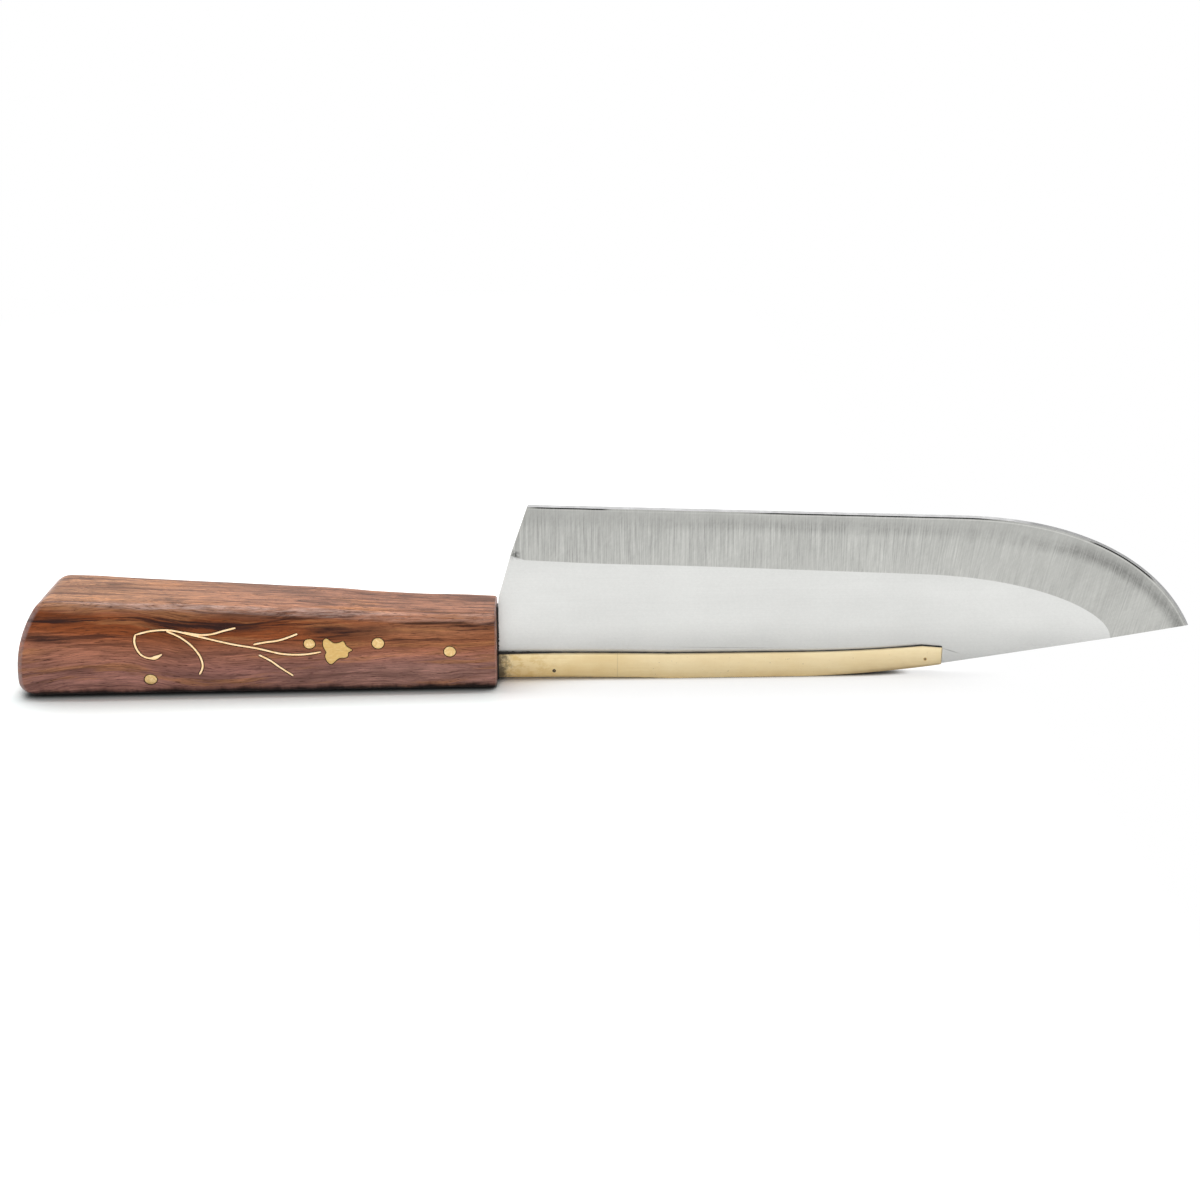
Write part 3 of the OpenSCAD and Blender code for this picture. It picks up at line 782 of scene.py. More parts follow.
def edge_steel():
    """The narrow honed bevel, matt and light."""
    p = Paint("edge_steel")
    travel = p.attribute("edge_travel")
    patchy = p.noise((0.2, 0, 0), 3, 0.5, p.join(travel, 0, 0))
    tone = patchy.eased(0.35, 0.65, 0.72, 0.86) * travel.eased(138, 148, 1, 0.6)
    return p.finish(p.join(tone, tone, tone), 0.5, Metallic=0.35)


def rim_steel():
    """Filed spine and heel of the blade."""
    p = Paint("rim_steel")
    marks = p.noise((0.8, 0.12, 0.8), 4)
    tone = marks.straight(0.3, 0.7, 0.56, 0.72)
    roughness = marks.eased(0.3, 0.7, 0.3, 0.42)
    return p.finish(p.join(tone, tone, tone), roughness, Normal=p.bump(marks, 0.01, 0.4), Metallic=1)


# Brass, solder and resin


BAR_TONES = [(0.3, (0.82, 0.64, 0.34)), (0.5, (0.88, 0.72, 0.42)), (0.7, (0.92, 0.78, 0.49))]
BAR_PALE = (0.96, 0.84, 0.6)
BAR_LINE = (0.76, 0.59, 0.31)
BAR_TARNISH = (0.7, 0.5, 0.2)
BAR_SOOT = (0.11, 0.085, 0.06)
BAR_SPECK = (0.2, 0.14, 0.07)
# Painted shade on the end face and the lower facet
BAR_FACET_SHADE = (0.33, 0.22, 0.1)
BAR_SCRIBED = (0.3, 0.22, 0.12)
PIN_TONES = [(0.34, (0.56, 0.37, 0.15)), (0.52, (0.64, 0.45, 0.205)), (0.72, (0.82, 0.63, 0.35))]
WIRE_TONES = [(0.32, (0.86, 0.57, 0.27)), (0.52, (0.95, 0.69, 0.41)), (0.72, (1, 0.79, 0.56))]
FLOWER_TONES = [(0.32, (0.53, 0.34, 0.122)), (0.52, (0.585, 0.394, 0.15)), (0.72, (0.653, 0.49, 0.231))]
RESIN_COLOUR = (0.012, 0.009, 0.008)
SOLDER_COLOUR = (0.008, 0.007, 0.006)


def bar_brass():
    """Pale filed brass, sooty beside the handle, with a few dark specks, a scribed mark, and painted
    shade on the end face and the lower facet.
    """
    p = Paint("bar_brass")
    travel = p.x - HEEL_X
    lines = p.noise((0.06, 1.5, 2.6), 5, 0.65)
    p.colour = p.ramp(p.noise((0.05, 0.1, 0.2)), BAR_TONES)
    p.lay(lines.eased(0.35, 0.7, 0, 0.22), BAR_LINE)
    p.lay(travel.eased(15, 60, 0, 0.38), BAR_PALE)
    tarnish = p.noise((0.35, 0.5, 0.6), 6, 0.7).eased(0.42, 0.64, 0.1, 0.75)
    p.lay(tarnish * travel.eased(4, 24, 1, 0.15), BAR_TARNISH)
    soot = travel.straight(0, 7.5, 1.25, 0) * p.noise((0.6, 0.6, 0.5), 5, 0.75)
    p.lay(soot.eased(0.28, 0.62, 0, 0.88), BAR_SOOT)
    specks = p.noise((1.5, 1.5, 1.9), 1)
    p.lay(specks.eased(0.74, 0.8, 0, 0.5), BAR_SPECK)
    # Painted shade: darker end face and filed lower facet, which faces the table
    end_face_shade = p.facing("X").eased(0.35, 0.8, 0, 0.65)
    filed = p.facing("Z").eased(-0.42, -0.12, 0.5, 0) * travel.eased(88, 118)
    p.lay(p.largest(end_face_shade, filed), BAR_FACET_SHADE)
    p.lay(travel.hump(34.6, 0.22) * 0.25, BAR_SCRIBED)
    roughness = lines.straight(0.3, 0.7, 0.38, 0.5)
    return p.finish(p.colour, roughness, Normal=p.bump(lines, 0.01, 0.5), Metallic=0.85)


def small_brass(name, tones, pitch, matt, depth, strength):
    """Rubbed or dented brass. matt is its lowest and highest roughness."""
    p = Paint(name)
    dents = p.noise(pitch, 4, 0.6)
    roughness = dents.straight(0.3, 0.7, *matt)
    relief = p.bump(dents, depth, strength)
    return p.finish(p.ramp(dents, tones), roughness, Normal=relief, Metallic=1)


def inlay_brass(name, tones):
    return small_brass(name, tones, (0.9, 1.2, 1.6), (0.32, 0.44), 0.02, 0.4)


def pin_brass():
    return small_brass("pin_brass", PIN_TONES, (1.3, 1.3, 1.3), (0.3, 0.45), 0.04, 0.6)


def dark_filler(name, colour, roughness):
    """Resin or blackened solder, nearly black and uneven."""
    p = Paint(name)
    lumps = p.noise((0.7, 0.9, 0.9), 5, 0.65)
    lighter = tuple(3.2 * c for c in colour)
    paint = p.mix(lumps.eased(0.5, 0.75, 0, 0.7), colour, lighter)
    return p.finish(paint, roughness, Normal=p.bump(lumps, 0.08, 0.7))


# Handle


HEEL_STEPS = 10
BUTT_STEPS = 24
TOP_STEPS = 18
CORNER_STEPS = 8
CROSS_STEPS = 10
CORNER_ARC_STEPS = 6


def handle_outline():
    """Side view (x, z): from the front along the sole, round the butt and back along the top."""
    line = [Vector((FRONT_X, FRONT_BEVEL)), Vector((FRONT_X - FRONT_BEVEL, 0))]
    for i in range(HEEL_STEPS + 1):
        line.append(Vector((BUTT_X + HEEL_R, HEEL_R)) + HEEL_R * towards(270 - 90 * i / HEEL_STEPS))
    line += [bezier(BUTT_CURVE, i / BUTT_STEPS) for i in range(BUTT_STEPS)]
    corner = len(line)
    line += smooth(TOP_CURVE, TOP_STEPS)
    return rounded_corner(line, corner) + [Vector((FRONT_X, FRONT_H - FRONT_BEVEL))]


def rounded_corner(line, corner):
    """An outline with one corner rounded."""
    far = [i for i, q in enumerate(line) if (q - line[corner]).length > CORNER_CUT]
    start = max(i for i in far if i < corner)
    end = min(i for i in far if i > corner)
    a, b, c = line[start], line[corner], line[end]
    shares = [k / CORNER_ARC_STEPS for k in range(1, CORNER_ARC_STEPS)]
    arc = [between(between(a, b, share), between(b, c, share), share) for share in shares]
    return line[:start + 1] + arc + line[end:]


def handle_normals(line):
    """Directions out of the outline, straight up or down beside the front."""
    made = [left_of(a, b) for a, b in zip(line[1:-3], line[3:-1])]
    return [Vector((0, -1))] * 2 + made + [Vector((0, 1))] * 2


def side_edge_r(x, normal):
    """Rounding between the outline and the flat side, by the way that the outline faces."""
    share = (x - BUTT_X) / HANDLE_L
    if normal.y < 0:
        sole = SOLE_R * (1 + 0.16 * wobble(x, 0, 0, 19, 6.6))
        return BUTT_ROUND * normal.x**2 + sole * normal.y**2
    uneven = 1 + 0.22 * wobble(x, 0, 0, 15, 2.2)
    return BUTT_ROUND * normal.x**2 + between(RIDGE_R, RIDGE_FRONT_R, share) * uneven * normal.y**2


def handle_place(p, normal, side, angle, support=0):
    """A point of the outline carried round the long edge by an angle towards the flat side."""
    r = side_edge_r(p.x, normal)
    a = math.radians(angle)
    q = p - normal * (r * (1 - math.sin(a)) + support)
    bevel = max(0, p.x - FRONT_X + FRONT_BEVEL)
    return Vector((q.x, side * (handle_half_w(q.x) - r * (1 - math.cos(a)) - bevel), q.y))


def carved(point, upward):
    """Moves a point of the upper side a little. The flat sides and the sole stay true."""
    swell = 0.13 * wobble(point.x, point.y, point.z, 17, 3.1)
    ripple = 0.035 * wobble(point.x, point.y, point.z, 5, 8.7)
    crown = -0.05 * (point.y / handle_half_w(point.x)) ** 2
    return point + Vector((0, 0, max(0, upward) * (swell + ripple + crown)))


def handle_rows():
    """Rows of points from the near side over the long edges to the far side."""
    line = handle_outline()
    pairs = list(zip(line, handle_normals(line)))
    turns = [90 * k / CORNER_STEPS for k in range(CORNER_STEPS + 1)]

    def long_edge(side, angle):
        lift = math.sin(math.radians(angle))
        return [carved(handle_place(p, v, side, angle), lift * v.y) for p, v in pairs]

    rows = [long_edge(-1, angle) for angle in turns]
    for k in range(1, CROSS_STEPS):
        edges = [(handle_place(p, v, 1, 90), v.y) for p, v in pairs]
        share = k / CROSS_STEPS
        rows.append([carved(Vector((q.x, between(-q.y, q.y, share), q.z)), up) for q, up in edges])
    rows += [long_edge(1, angle) for angle in turns[::-1]]
    near, far = ([handle_place(p, v, side, 0, SUPPORT) for p, v in pairs] for side in (-1, 1))
    return [near, *rows, far]


def handle_solid():
    """Points and faces of the whole handle: flat sides, rounded long edges and a bevelled front."""
    rows = handle_rows()
    n = len(rows[0])
    far = (len(rows) - 1) * n
    faces = grid(len(rows), n)
    for start in (0, far):
        faces.append(tuple(range(start + 1, start + n - 1)))
        faces.append((start, start + 1, start + n - 2, start + n - 1))
    faces.append((*range(n - 1, far + n, n), *range(far, -1, -n)))
    return [p for row in rows for p in row], faces


def near_face(x, z, out):
    """Place on the inlaid side of the handle, a distance out of the wood."""
    return Vector((x, -handle_half_w(x) - out, z))


def ribbon(route, half_width, profile):
    """Rings of a profile along a route on the near face."""
    line = smooth([(FRONT_X + x, z) for x, z in route], WIRE_STEPS)
    rings = []
    for i, q in enumerate(line):
        sideways = left_of(line[max(i - 1, 0)], line[min(i + 1, len(line) - 1)])
        half = half_width(i / (len(line) - 1))
        rings.append([near_face(*(q + sideways * half * s), out) for s, out in profile])
    return rings


def wire_half_width(seed, leaf):
    """Half width along a wire from its start to its end, with a leaf near the end where asked for."""

    def half(t):
        along_leaf = min(1, max(0, (t - LEAF_FROM) / LEAF_SHARE))
        swell = math.sin(math.pi * along_leaf) ** 2 if leaf else 0
        uneven = 1 + 0.09 * wobble(t * 40, 0, 0, 3, seed)
        ends = min(1, WIRE_END_W + 12 * t) * min(1, WIRE_END_W + 12 * (1 - t))
        return (WIRE_W * uneven + swell * (LEAF_W - WIRE_W)) * ends / 2

    return half


def wire(name, route, seed, leaf, material):
    return solid(name, ribbon(route, wire_half_width(seed, leaf), WIRE_PROFILE), [material], 50)


def groove(route, seed, leaf):
    half = wire_half_width(seed, leaf)
    return solid("groove", ribbon(route, lambda t: half(t) + GROOVE_GAP, GROOVE_PROFILE), [])


def flower_outline(grow):
    """Smooth outline of the flower, moved outwards."""
    line = smooth([(FRONT_X + x, z) for x, z in FLOWER + FLOWER[:1]], FLOWER_STEPS)[:-1]
    ahead = line[1:] + line[:1]
    return [q + grow * left_of(line[i - 1], ahead[i]) for i, q in enumerate(line)]


def flower_solid(name, layers, materials):
    """Solid from layers of the flower's outline."""
    rings = [[near_face(*q, out) for q in flower_outline(grow)] for grow, out in layers]
    return solid(name, rings, materials, 50)


def pin_outline(node, grow, share=1):
    """Uneven oval of a pin end, as (x, z) steps from its middle."""
    width, height = PIN_HEADS[node]
    made = []
    for k in range(PIN_STEPS):
        c, s = towards(360 * k / PIN_STEPS)
        size = share / 2 * (1 + 0.035 * wobble(1.6 * c, 1.6 * s, 0, 1.1, width + height))
        made.append(Vector((c * (width * size + grow), s * (height * size + grow))))
    return made


def peened_pin(node, material):
    """Pin through the handle, out of round, with low hammered ends."""
    centre = middle_of(node)
    half = handle_half_w(centre.x)
    rings = []
    for side in (-1, 1):
        for share, out in PIN_DOME[::-side]:
            ring = []
            for q in pin_outline(node, 0, share):
                dent = 0.03 * wobble(q.x, side, q.y, 0.8, centre.x / 7)
                ring.append(Vector((centre.x + q.x, side * (half + out + dent), centre.z + q.y)))
            rings.append(ring)
    return dress(solid(node + "_peened", rings, [material], 50), node)


def pin_hole(node):
    centre = middle_of(node)
    return across("hole", [centre.xz + q for q in pin_outline(node, GROOVE_GAP)], BUTT_W)


def tang_line(margin):
    """Side view of the tang from its upper corner round its end to the lower edge."""
    r = TANG_END_H / 2
    centre = Vector((TANG_END_X + r, TANG_INSET + r))
    end = [centre + (r + margin) * towards(degrees) for degrees in range(90, 271, 15)]
    return [Vector((FRONT_X - TANG_STRAIGHT_L, TANG_TOP + margin))] + end


def slot_cutter():
    """Solid that cuts the slot for the tang, past the front and the sole."""
    line = [Vector((FRONT_X + CUT_OVER, TANG_TOP + SLOT_GAP))] + tang_line(SLOT_GAP)[:8]
    line += [Vector((TANG_END_X - SLOT_GAP, -CUT_OVER)), Vector((FRONT_X + CUT_OVER, -CUT_OVER))]
    return across("slot", line, BLADE_T / 2 + SLOT_GAP)


WIRES = [
    ("inlay_hook", HOOK, 1.3, True),
    ("inlay_stem", STEM, 2.6, False),
    ("inlay_upper_branch", UPPER_BRANCH, 3.9, False),
    ("inlay_lower_branch", LOWER_BRANCH, 5.2, False),
    ("inlay_upper_tendril", UPPER_TENDRIL, 6.5, False),
    ("inlay_lower_tendril", LOWER_TENDRIL, 7.8, False),
]


def build_handle(material):
    points, faces = handle_solid()
    piece = make_mesh("handle_wood", points, faces, [material])
    cut(piece, slot_cutter())
    for node in PIN_HEADS:
        cut(piece, pin_hole(node))
    for _, route, seed, leaf in WIRES:
        cut(piece, groove(route, seed, leaf))
    cut(piece, flower_solid("bed", BED_LAYERS, []))
    finish_shading(piece, 32)
    return dress(piece, "handle")


def build_inlay(wire_material, flower_material):
    for node, route, seed, leaf in WIRES:
        dress(wire(node + "_wire", route, seed, leaf, wire_material), node)
    plate = flower_solid("inlay_flower_plate", FLOWER_LAYERS, [flower_material])
    dress(plate, "inlay_flower")


# Blade


STRAIGHT_STEPS = 30
CURVED_STEPS = 64
CLIP_STEPS = 16
BEVEL_LAYERS = 8
SPINE_STEPS = 16
SPINE_BEND_STEPS = 40
HEEL_TURN_STEPS = 12
HEEL_TURN_SHARE = 0.3


def ground_by_hand(q):
    """A point of the grind line, which hooks up at the heel and then sags a little."""
    u = q.x - HEEL_X - GRIND_HOOK_AT
    hook = GRIND_HOOK_H * soft_step(GRIND_HOOK_L, 0, u)
    return q + Vector((0, hook - GRIND_SAG_H * math.exp(-((u - GRIND_SAG_AT) / GRIND_SAG_L) ** 2)))


def blade_rows():
    """Cutting edge, foot of its bevel, grind line, half thickness there, and where the flats end."""
    edge_start = Vector((heel_at(EDGE_HEEL_H), EDGE_HEEL_H))
    edge_turn = Vector((TIP_X - EDGE_CURVE_L, EDGE_CURVE_H))
    tip = Vector((TIP_X, TIP_H))
    tip_pull = EDGE_TIP_PULL * towards(EDGE_TIP_ANGLE)
    straight_pull = EDGE_STRAIGHT_PULL * (edge_turn - edge_start).normalized()
    edge_curve = [edge_turn, edge_turn + straight_pull, tip + tip_pull, tip]
    grind_start = Vector((heel_at(GRIND_HEEL_H), GRIND_HEEL_H))
    grind_turn = Vector((TIP_X - GRIND_CURVE_L, GRIND_CURVE_H))
    grind_end = Vector((HEEL_X + GRIND_END_U, spine_h(GRIND_END_U)))
    lead = GRIND_STRAIGHT_PULL * (grind_turn - grind_start).normalized()
    grind_curve = [grind_turn, grind_turn + lead, grind_end + Vector((0, GRIND_END_PULL)), grind_end]
    bend = CURVED_STEPS + CLIP_STEPS
    shares = [i / STRAIGHT_STEPS for i in range(STRAIGHT_STEPS)]
    edge = [between(edge_start, edge_turn, share) for share in shares]
    edge += [bezier(edge_curve, i / bend) for i in range(bend + 1)]
    grind = [ground_by_hand(between(grind_start, grind_turn, share)) for share in shares]
    grind += [bezier(grind_curve, i / CURVED_STEPS) for i in range(CURVED_STEPS)]
    half = [BLADE_T / 2] * len(grind)
    for i in range(CLIP_STEPS + 1):
        u = GRIND_END_U + (GRIND_END_L - 2.5 * EDGE_BEVEL) * i / CLIP_STEPS
        grind.append(Vector((HEEL_X + u, spine_h(u))))
        half.append(between(BLADE_T, 1.2 * EDGE_BEVEL_T, i / CLIP_STEPS) / 2)
    last = len(edge) - 1
    out = [left_of(edge[max(i - 1, 0)], edge[min(i + 1, last)]) for i in range(last + 1)]
    foot = [q - EDGE_BEVEL * way for q, way in zip(edge, out)]
    foot[0] = Vector((heel_at(EDGE_HEEL_H - EDGE_BEVEL), EDGE_HEEL_H - EDGE_BEVEL))
    foot[last] = Vector((TIP_X - EDGE_BEVEL, spine_h(BLADE_L - EDGE_BEVEL)))
    return edge, foot, grind, half, STRAIGHT_STEPS + CURVED_STEPS


def nearest_on_edge(q, edge):
    """How far along the edge its nearest point is, and how far off. The edge runs on past the heel."""
    best = (0, math.inf)
    run = 0
    for a, b in zip(edge, edge[1:]):
        step = b - a
        t = min(1, max(-math.inf if run == 0 else 0, (q - a).dot(step) / step.length_squared))
        away = (q - a - t * step).length
        if away < best[1]:
            best = (run + t * step.length, away)
        run += step.length
    return best


def build_blade(materials):
    """Blade and tang as one closed mesh. materials: flats, bevels, honed edge, rim."""
    edge, foot, grind, half, flat_end = blade_rows()
    n = len(edge)
    rows = [(edge, [EDGE_T / 2] * n), (foot, [EDGE_BEVEL_T / 2] * n)]
    for k in range(1, BEVEL_LAYERS):
        share = k / BEVEL_LAYERS
        row = [between(a, b, share) for a, b in zip(foot, grind)]
        rows.append((row, [between(EDGE_BEVEL_T / 2, h, share) for h in half]))
    rows.append((grind, half))
    near = [Vector((q.x, -t, q.y)) for row, ts in rows for q, t in zip(row, ts)]
    spine_us = [REST_START * i / SPINE_STEPS for i in range(SPINE_STEPS + 1)]
    spine_us += [between(REST_END, GRIND_END_U, i / SPINE_BEND_STEPS) for i in range(SPINE_BEND_STEPS)]
    spine = [Vector((HEEL_X + u, spine_h(u))) for u in spine_us]
    turn_end = between(HEEL_TURN_H, GRIND_HEEL_H, HEEL_TURN_SHARE)
    corner = (HEEL_X, HEEL_TURN_H)
    turn = [(heel_at(turn_end), turn_end), corner, corner, (HEEL_X, TANG_TOP)]
    behind = [bezier(turn, i / HEEL_TURN_STEPS) for i in range(HEEL_TURN_STEPS + 1)]
    behind += tang_line(0) + [Vector((FRONT_X, TANG_INSET))]
    start = len(near)
    near += [Vector((q.x, -BLADE_T / 2, q.y)) for q in spine + behind]
    m = len(near)
    points = near + [Vector((q.x, -q.y, q.z)) for q in near]
    spine_ids = range(start, start + len(spine))
    behind_ids = range(start + len(spine), m)
    grind_start = start - n
    grind_ids = range(grind_start + flat_end, grind_start - 1, -1)
    faces = [(*spine_ids, *grind_ids, *behind_ids)] + grid(len(rows), n)
    kinds = [0] + [2] * (n - 1) + [1] * (len(rows) - 2) * (n - 1)
    faces += [tuple(v + m for v in face) for face in faces]
    kinds += kinds
    clip_ids = range(grind_start + flat_end, start - 1)
    tip_ids = range(start - 1, n, -n)
    edge_ids = range(n - 1, 0, -1)
    heel_ids = range(0, start, n)
    rim = [*spine_ids, *clip_ids, *tip_ids, *edge_ids, *heel_ids, *behind_ids]
    for k, a in enumerate(rim):
        b = rim[(k + 1) % len(rim)]
        faces.append((a, b, b + m, a + m))
        kinds.append(2 if a < n and b < n else 3)
    piece = make_mesh("blade_forging", points, faces, materials, kinds, smooth_angle=2)
    places = [nearest_on_edge(Vector((v.x, v.z)), edge) for v in near[:start]]
    places += [(0, 0)] * (m - start)
    for k, name in enumerate(("edge_travel", "edge_distance")):
        values = [place[k] for place in places] * 2
        piece.data.attributes.new(name, "FLOAT", "POINT").data.foreach_set("value", values)
    return dress(piece, "blade")


PLUG_STEPS = 40
PLUG_END_GAP = 0.4
PLUG_W = BLADE_T + 0.4
PLUG_LOW = 0.12
PLUG_HIGH = 1.6
BEAD_STEPS = 180
BEAD_FROM_TO = (0.5, FRONT_H - 0.5)
BEAD_OUT = 0.32
BEAD_REACH = 0.1
BEAD_SPILL = 0.35
BEAD_SPILL_FROM_TO = (16, 9)


def build_bedding(material):
    """Resin: a plug in the mouth of the slot, and an uneven bead between the handle and the blade."""
    rings = []
    for i in range(PLUG_STEPS + 1):
        x = between(TANG_END_X + PLUG_END_GAP, FRONT_X, i / PLUG_STEPS)
        low = PLUG_LOW + 0.06 * wobble(x, 0, 0, 6, 5.5)
        section = [(-PLUG_W, low), (PLUG_W, low), (PLUG_W, PLUG_HIGH), (-PLUG_W, PLUG_HIGH)]
        rings.append([Vector((x, y / 2, z)) for y, z in section])
    points, faces = loft(rings)
    beads = []
    for i in range(BEAD_STEPS + 1):
        z = between(*BEAD_FROM_TO, i / BEAD_STEPS)
        beside_bar = soft_step(BAR_H + SPINE_RISE * BAR_TOP_FOLLOW + 0.25, BAR_H, z)
        jag = wobble(0, 0, z, 1.1, 7.7) + 0.6 * wobble(0, 0, z, 0.4, 2.9)
        wide = between(BLADE_T / 2 + BEAD_OUT + 0.1 * jag, bar_half_w(0) - 0.15, beside_bar)
        spilled = (0.1 + BEAD_SPILL * soft_step(*BEAD_SPILL_FROM_TO, z)) * max(-0.2, jag)
        reach = between(HEEL_X + BEAD_REACH + spilled, HEEL_X + 0.02, beside_bar)
        flat = between(BLADE_T / 2 + 0.04, wide - 0.05, beside_bar)
        outline = [(FRONT_X - 0.03, wide), (HEEL_X - 0.05, wide), (reach, flat)]
        near, far = ([Vector((x, side * y, z)) for x, y in outline] for side in (-1, 1))
        beads.append(near + far[::-1])
    more, more_faces = loft(beads)
    faces += [tuple(v + len(points) for v in face) for face in more_faces]
    piece = make_mesh("tang_resin", points + more, faces, [material], smooth_angle=50)
    return dress(piece, "tang_bedding")


# Bars, their dark seams and their rivets


BAR_STEPS = 120
SEAM_STEPS = 320
SEAM_SHARE = 0.44
SEAM_H = 0.05
SEAM_HANDLE_FROM_TO = (20, 2)
SEAM_END_FROM_TO = (BAR_L - 16, BAR_L - 6)
RIVET_STEPS = 24


def bar_ring(u, side):
    """Cross-section of a bar: worn upper edge, filed lower edge that widens before the tip end."""
    x = HEEL_X + u
    inner, outer = BLADE_T / 2, bar_half_w(u)
    low, top = spine_h(u), bar_top_h(u)
    worn = BAR_WORN + 0.05 * wobble(u, 0, side, 6, 4.4)
    more = soft_step(*BAR_FILED_FROM_TO, u) * soft_step(*BAR_FILED_END_FROM_TO, u)
    filed = BAR_FILED_H + BAR_FILED_MORE * more
    end = max(0, u - BAR_L + BAR_END_BEVEL)
    outline = [
        (inner, low), (outer - 0.45 * filed - end, low), (outer - end, low + filed),
        (outer - end, top - worn), (outer - worn - end, top), (inner, top),
    ]
    return [Vector((x, side * y, z)) for y, z in outline]


def bar_stations():
    bend = [BAR_L * i / BAR_STEPS for i in range(BAR_STEPS)]
    corner = [BAR_L - BAR_CORNER_L, BAR_L - BAR_END_BEVEL, BAR_L]
    return sorted(set(bend + corner))


def build_bar(node, side, material):
    rings = [bar_ring(u, side) for u in bar_stations()]
    return dress(solid(node + "_brass", rings, [material], 25), node)


def build_seam(node, side, material):
    """Uneven dark line of solder and grime on the ledge."""
    rings = []
    for i in range(SEAM_STEPS + 1):
        u = BAR_L * i / SEAM_STEPS
        top = bar_top_h(u)
        inner = BLADE_T / 2 - 0.05
        near_handle = soft_step(*SEAM_HANDLE_FROM_TO, u)
        near_end = soft_step(*SEAM_END_FROM_TO, u)
        spread = SEAM_SHARE + 0.1 * wobble(u, 0, side, 2.3, 6.1) + 0.3 * near_handle + 0.25 * near_end
        reach = inner + spread * (bar_half_w(u) - inner)
        rise = SEAM_H + 0.04 * wobble(u, 0, side, 3.1, 9.3)
        rise += near_handle * (0.16 + 0.25 * wobble(u, 0, side, 1.1, 3.3)) + 0.12 * near_end
        rise = max(0.015, rise)
        outline = [
            (inner, top - 0.05), (reach, top - 0.05), (reach - 0.05, top + 0.02),
            (inner + 0.2, top + rise), (inner, top + rise),
        ]
        rings.append([Vector((HEEL_X + u, side * y, z)) for y, z in outline])
    return dress(solid(node + "_line", rings, [material], 60), node)


def build_rivet(node, materials):
    """Rivet with a sunken dark ring round its filed head."""
    low, high = box(node)
    centre = middle_of(node)
    radius = (high.x - low.x) / 2
    half = bar_half_w(centre.x - HEEL_X)
    dark_from, dark_to = RIVET_RINGS[node]
    head = [(0.6 * dark_from, 0.02), (dark_from, 0.012), (dark_to, 0.006), (1, 0.004), (1, -0.1)]
    rings = []
    for side in (-1, 1):
        for share, out in head[::-side]:
            ring = []
            for k in range(RIVET_STEPS):
                c, s = towards(360 * k / RIVET_STEPS)
                r = radius * share * (1 + 0.12 * wobble(2 * c, 2 * s, side, 2, centre.x / 9))
                ring.append(Vector((centre.x + r * c, side * (half + out), centre.z + r * s)))
            rings.append(ring)
    points, faces = loft(rings)
    kinds = [0] * len(faces)
    for dark_band in (1, len(rings) - 3):
        first = dark_band * RIVET_STEPS
        kinds[first:first + RIVET_STEPS] = [1] * RIVET_STEPS
    piece = make_mesh(node + "_head", points, faces, materials, kinds, smooth_angle=50)
    return dress(piece, node)


# Stage


def table_white():
    """Matt white with a soft shadow close to the knife. It fades to a plain white glow."""
    material = bpy.data.materials.new("table_white")
    material.use_nodes = True
    material.node_tree.nodes.clear()
    made = Nodes(material.node_tree)
    place = made.add("ShaderNodeTexCoord").outputs["Object"]
    x = made.part("X", place)
    y = made.part("Y", place)
    camera = made.ray("Is Camera Ray")
    by_bar = x.eased(*BAR_CONTACT_FROM_TO)

    closeness = made.add("ShaderNodeAmbientOcclusion", samples=8)
    made.fill(closeness, Distance=by_bar.straight(0, 1, CONTACT_REACH, BAR_CONTACT_REACH))
    open_share = Value(made, closeness.outputs["AO"])
    bar_tone = x.eased(*BAR_TOUCH_FROM_TO, *BAR_CONTACT_TONES)
    contact_tone = by_bar.straight(0, 1, CONTACT_TONE, bar_tone)
    shadow = made.largest(open_share.eased(*CONTACT_OPEN_FROM_TO, contact_tone), 1 - camera)

    in_front = made.math("LESS_THAN", y, 0)
    gloss_shade = y.eased(*BEHIND_FROM_TO, *BEHIND_TONES)
    behind = made.largest(gloss_shade, in_front, 1 - made.ray("Is Glossy Ray"))
    tone = made.seen().eased(0, 1, TABLE_WHITE, TABLE_WHITE_SEEN) * behind * shadow
    by_handle = abs(y).eased(*COOL_TINT_FROM_TO, 1, 0) * (1 - by_bar)
    matt = made.add("ShaderNodeBsdfDiffuse", made.join(tone * (1 - by_handle * COOL_TINT), tone, tone))

    lift = x.eased(*LIFT_FROM_TO, 0, LIFT) + x.eased(*WHITE_RIGHT_FROM_TO, 0, 1 - LIFT)
    lifted = open_share.eased(*LIFT_OPEN_FROM_TO) * lift * camera
    distance = made.add("ShaderNodeVectorMath", place, operation="LENGTH").outputs["Value"]
    far = Value(made, distance).eased(*WHITE_FROM_TO)
    glow = made.add("ShaderNodeEmission")
    made.fill(glow, Strength=1)
    share = made.largest(far, lifted)
    both = made.add("ShaderNodeMixShader", share, matt.outputs[0], glow.outputs[0])
    made.add("ShaderNodeOutputMaterial", both.outputs[0])
    return material


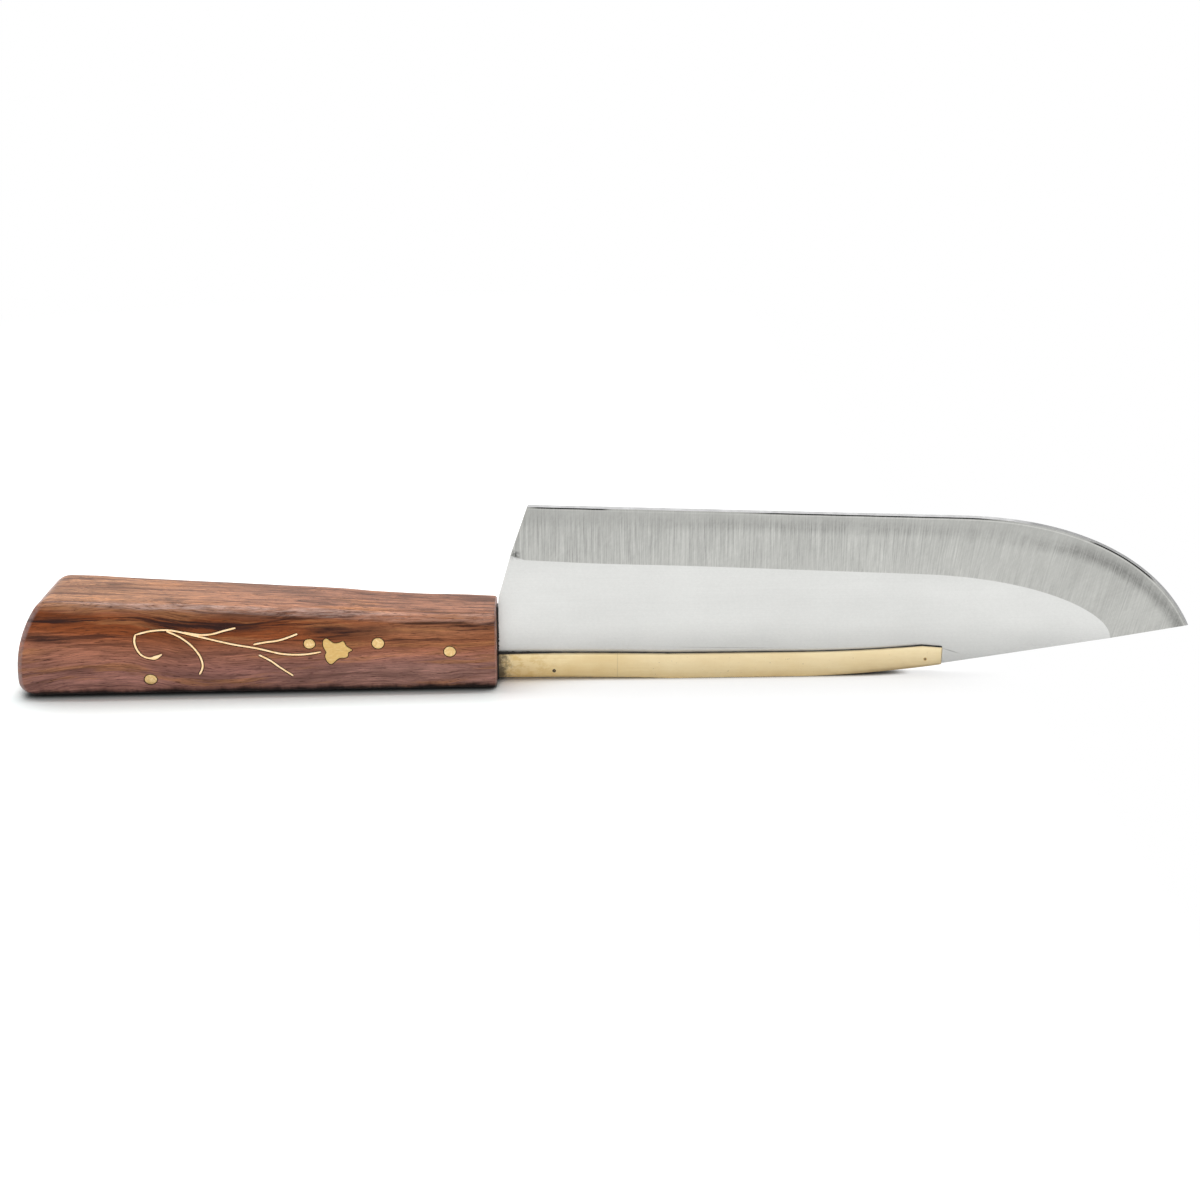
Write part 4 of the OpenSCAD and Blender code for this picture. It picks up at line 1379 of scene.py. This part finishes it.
def build_stage():
    """Wide table top under the knife."""
    side = [TABLE_SIZE * (i / TABLE_STEPS - 0.5) for i in range(TABLE_STEPS + 1)]
    corners = [(x, y, 0) for y in side for x in side]
    mesh = bpy.data.meshes.new("table")
    mesh.from_pydata(corners, [], grid(len(side), len(side)))
    mesh.materials.append(table_white())
    table = linked("table", mesh)


def build_world():
    """Even light from all round, which the camera and the metal see as white."""
    world = bpy.data.worlds.new("studio")
    bpy.context.scene.world = world
    world.use_nodes = True
    made = Nodes(world.node_tree)
    background = world.node_tree.nodes["Background"]
    made.fill(background, Color=(1, 1, 1, 1), Strength=made.seen().eased(0, 1, WORLD_FILL, 1))


def aimed(name, data, place, target):
    """New object at a place, turned towards a target."""
    made = linked(name, data)
    made.location = place
    made.rotation_euler = (Vector(target) - Vector(place)).to_track_quat("-Z", "Y").to_euler()
    return made


def soft_box(name, place, target, size, power):
    light = bpy.data.lights.new(name, "AREA")
    light.shape = "RECTANGLE"
    light.size, light.size_y = size
    light.energy = power
    aimed(name, light, place, target)


def build_camera():
    data = bpy.data.cameras.new("camera")
    data.lens = LENS
    data.sensor_width = SENSOR
    data.clip_start = NEAREST_SEEN
    bpy.context.scene.camera = aimed("camera", data, CAMERA_PLACE, CAMERA_TARGET)


build_camera()
build_stage()
build_world()
for lamp in LAMPS:
    soft_box(*lamp)
bpy.context.scene.view_settings.view_transform = "Standard"

wood = rosewood()
brass = bar_brass()
pin_metal = pin_brass()
wire_metal = inlay_brass("wire_brass", WIRE_TONES)
flower_metal = inlay_brass("flower_brass", FLOWER_TONES)
resin = dark_filler("resin", RESIN_COLOUR, 0.6)
solder = dark_filler("dark_solder", SOLDER_COLOUR, 0.55)

build_handle(wood)
build_inlay(wire_metal, flower_metal)
for pin in PIN_HEADS:
    peened_pin(pin, pin_metal)
build_blade([flat_steel(), bevel_steel(), edge_steel(), rim_steel()])
for end, sign in (("near", -1), ("far", 1)):
    build_bar("spine_bar_" + end, sign, brass)
    build_seam("seam_" + end, sign, solder)
for rivet in ("heel_rivet", "tip_rivet"):
    build_rivet(rivet, [pin_metal, solder])
build_bedding(resin)
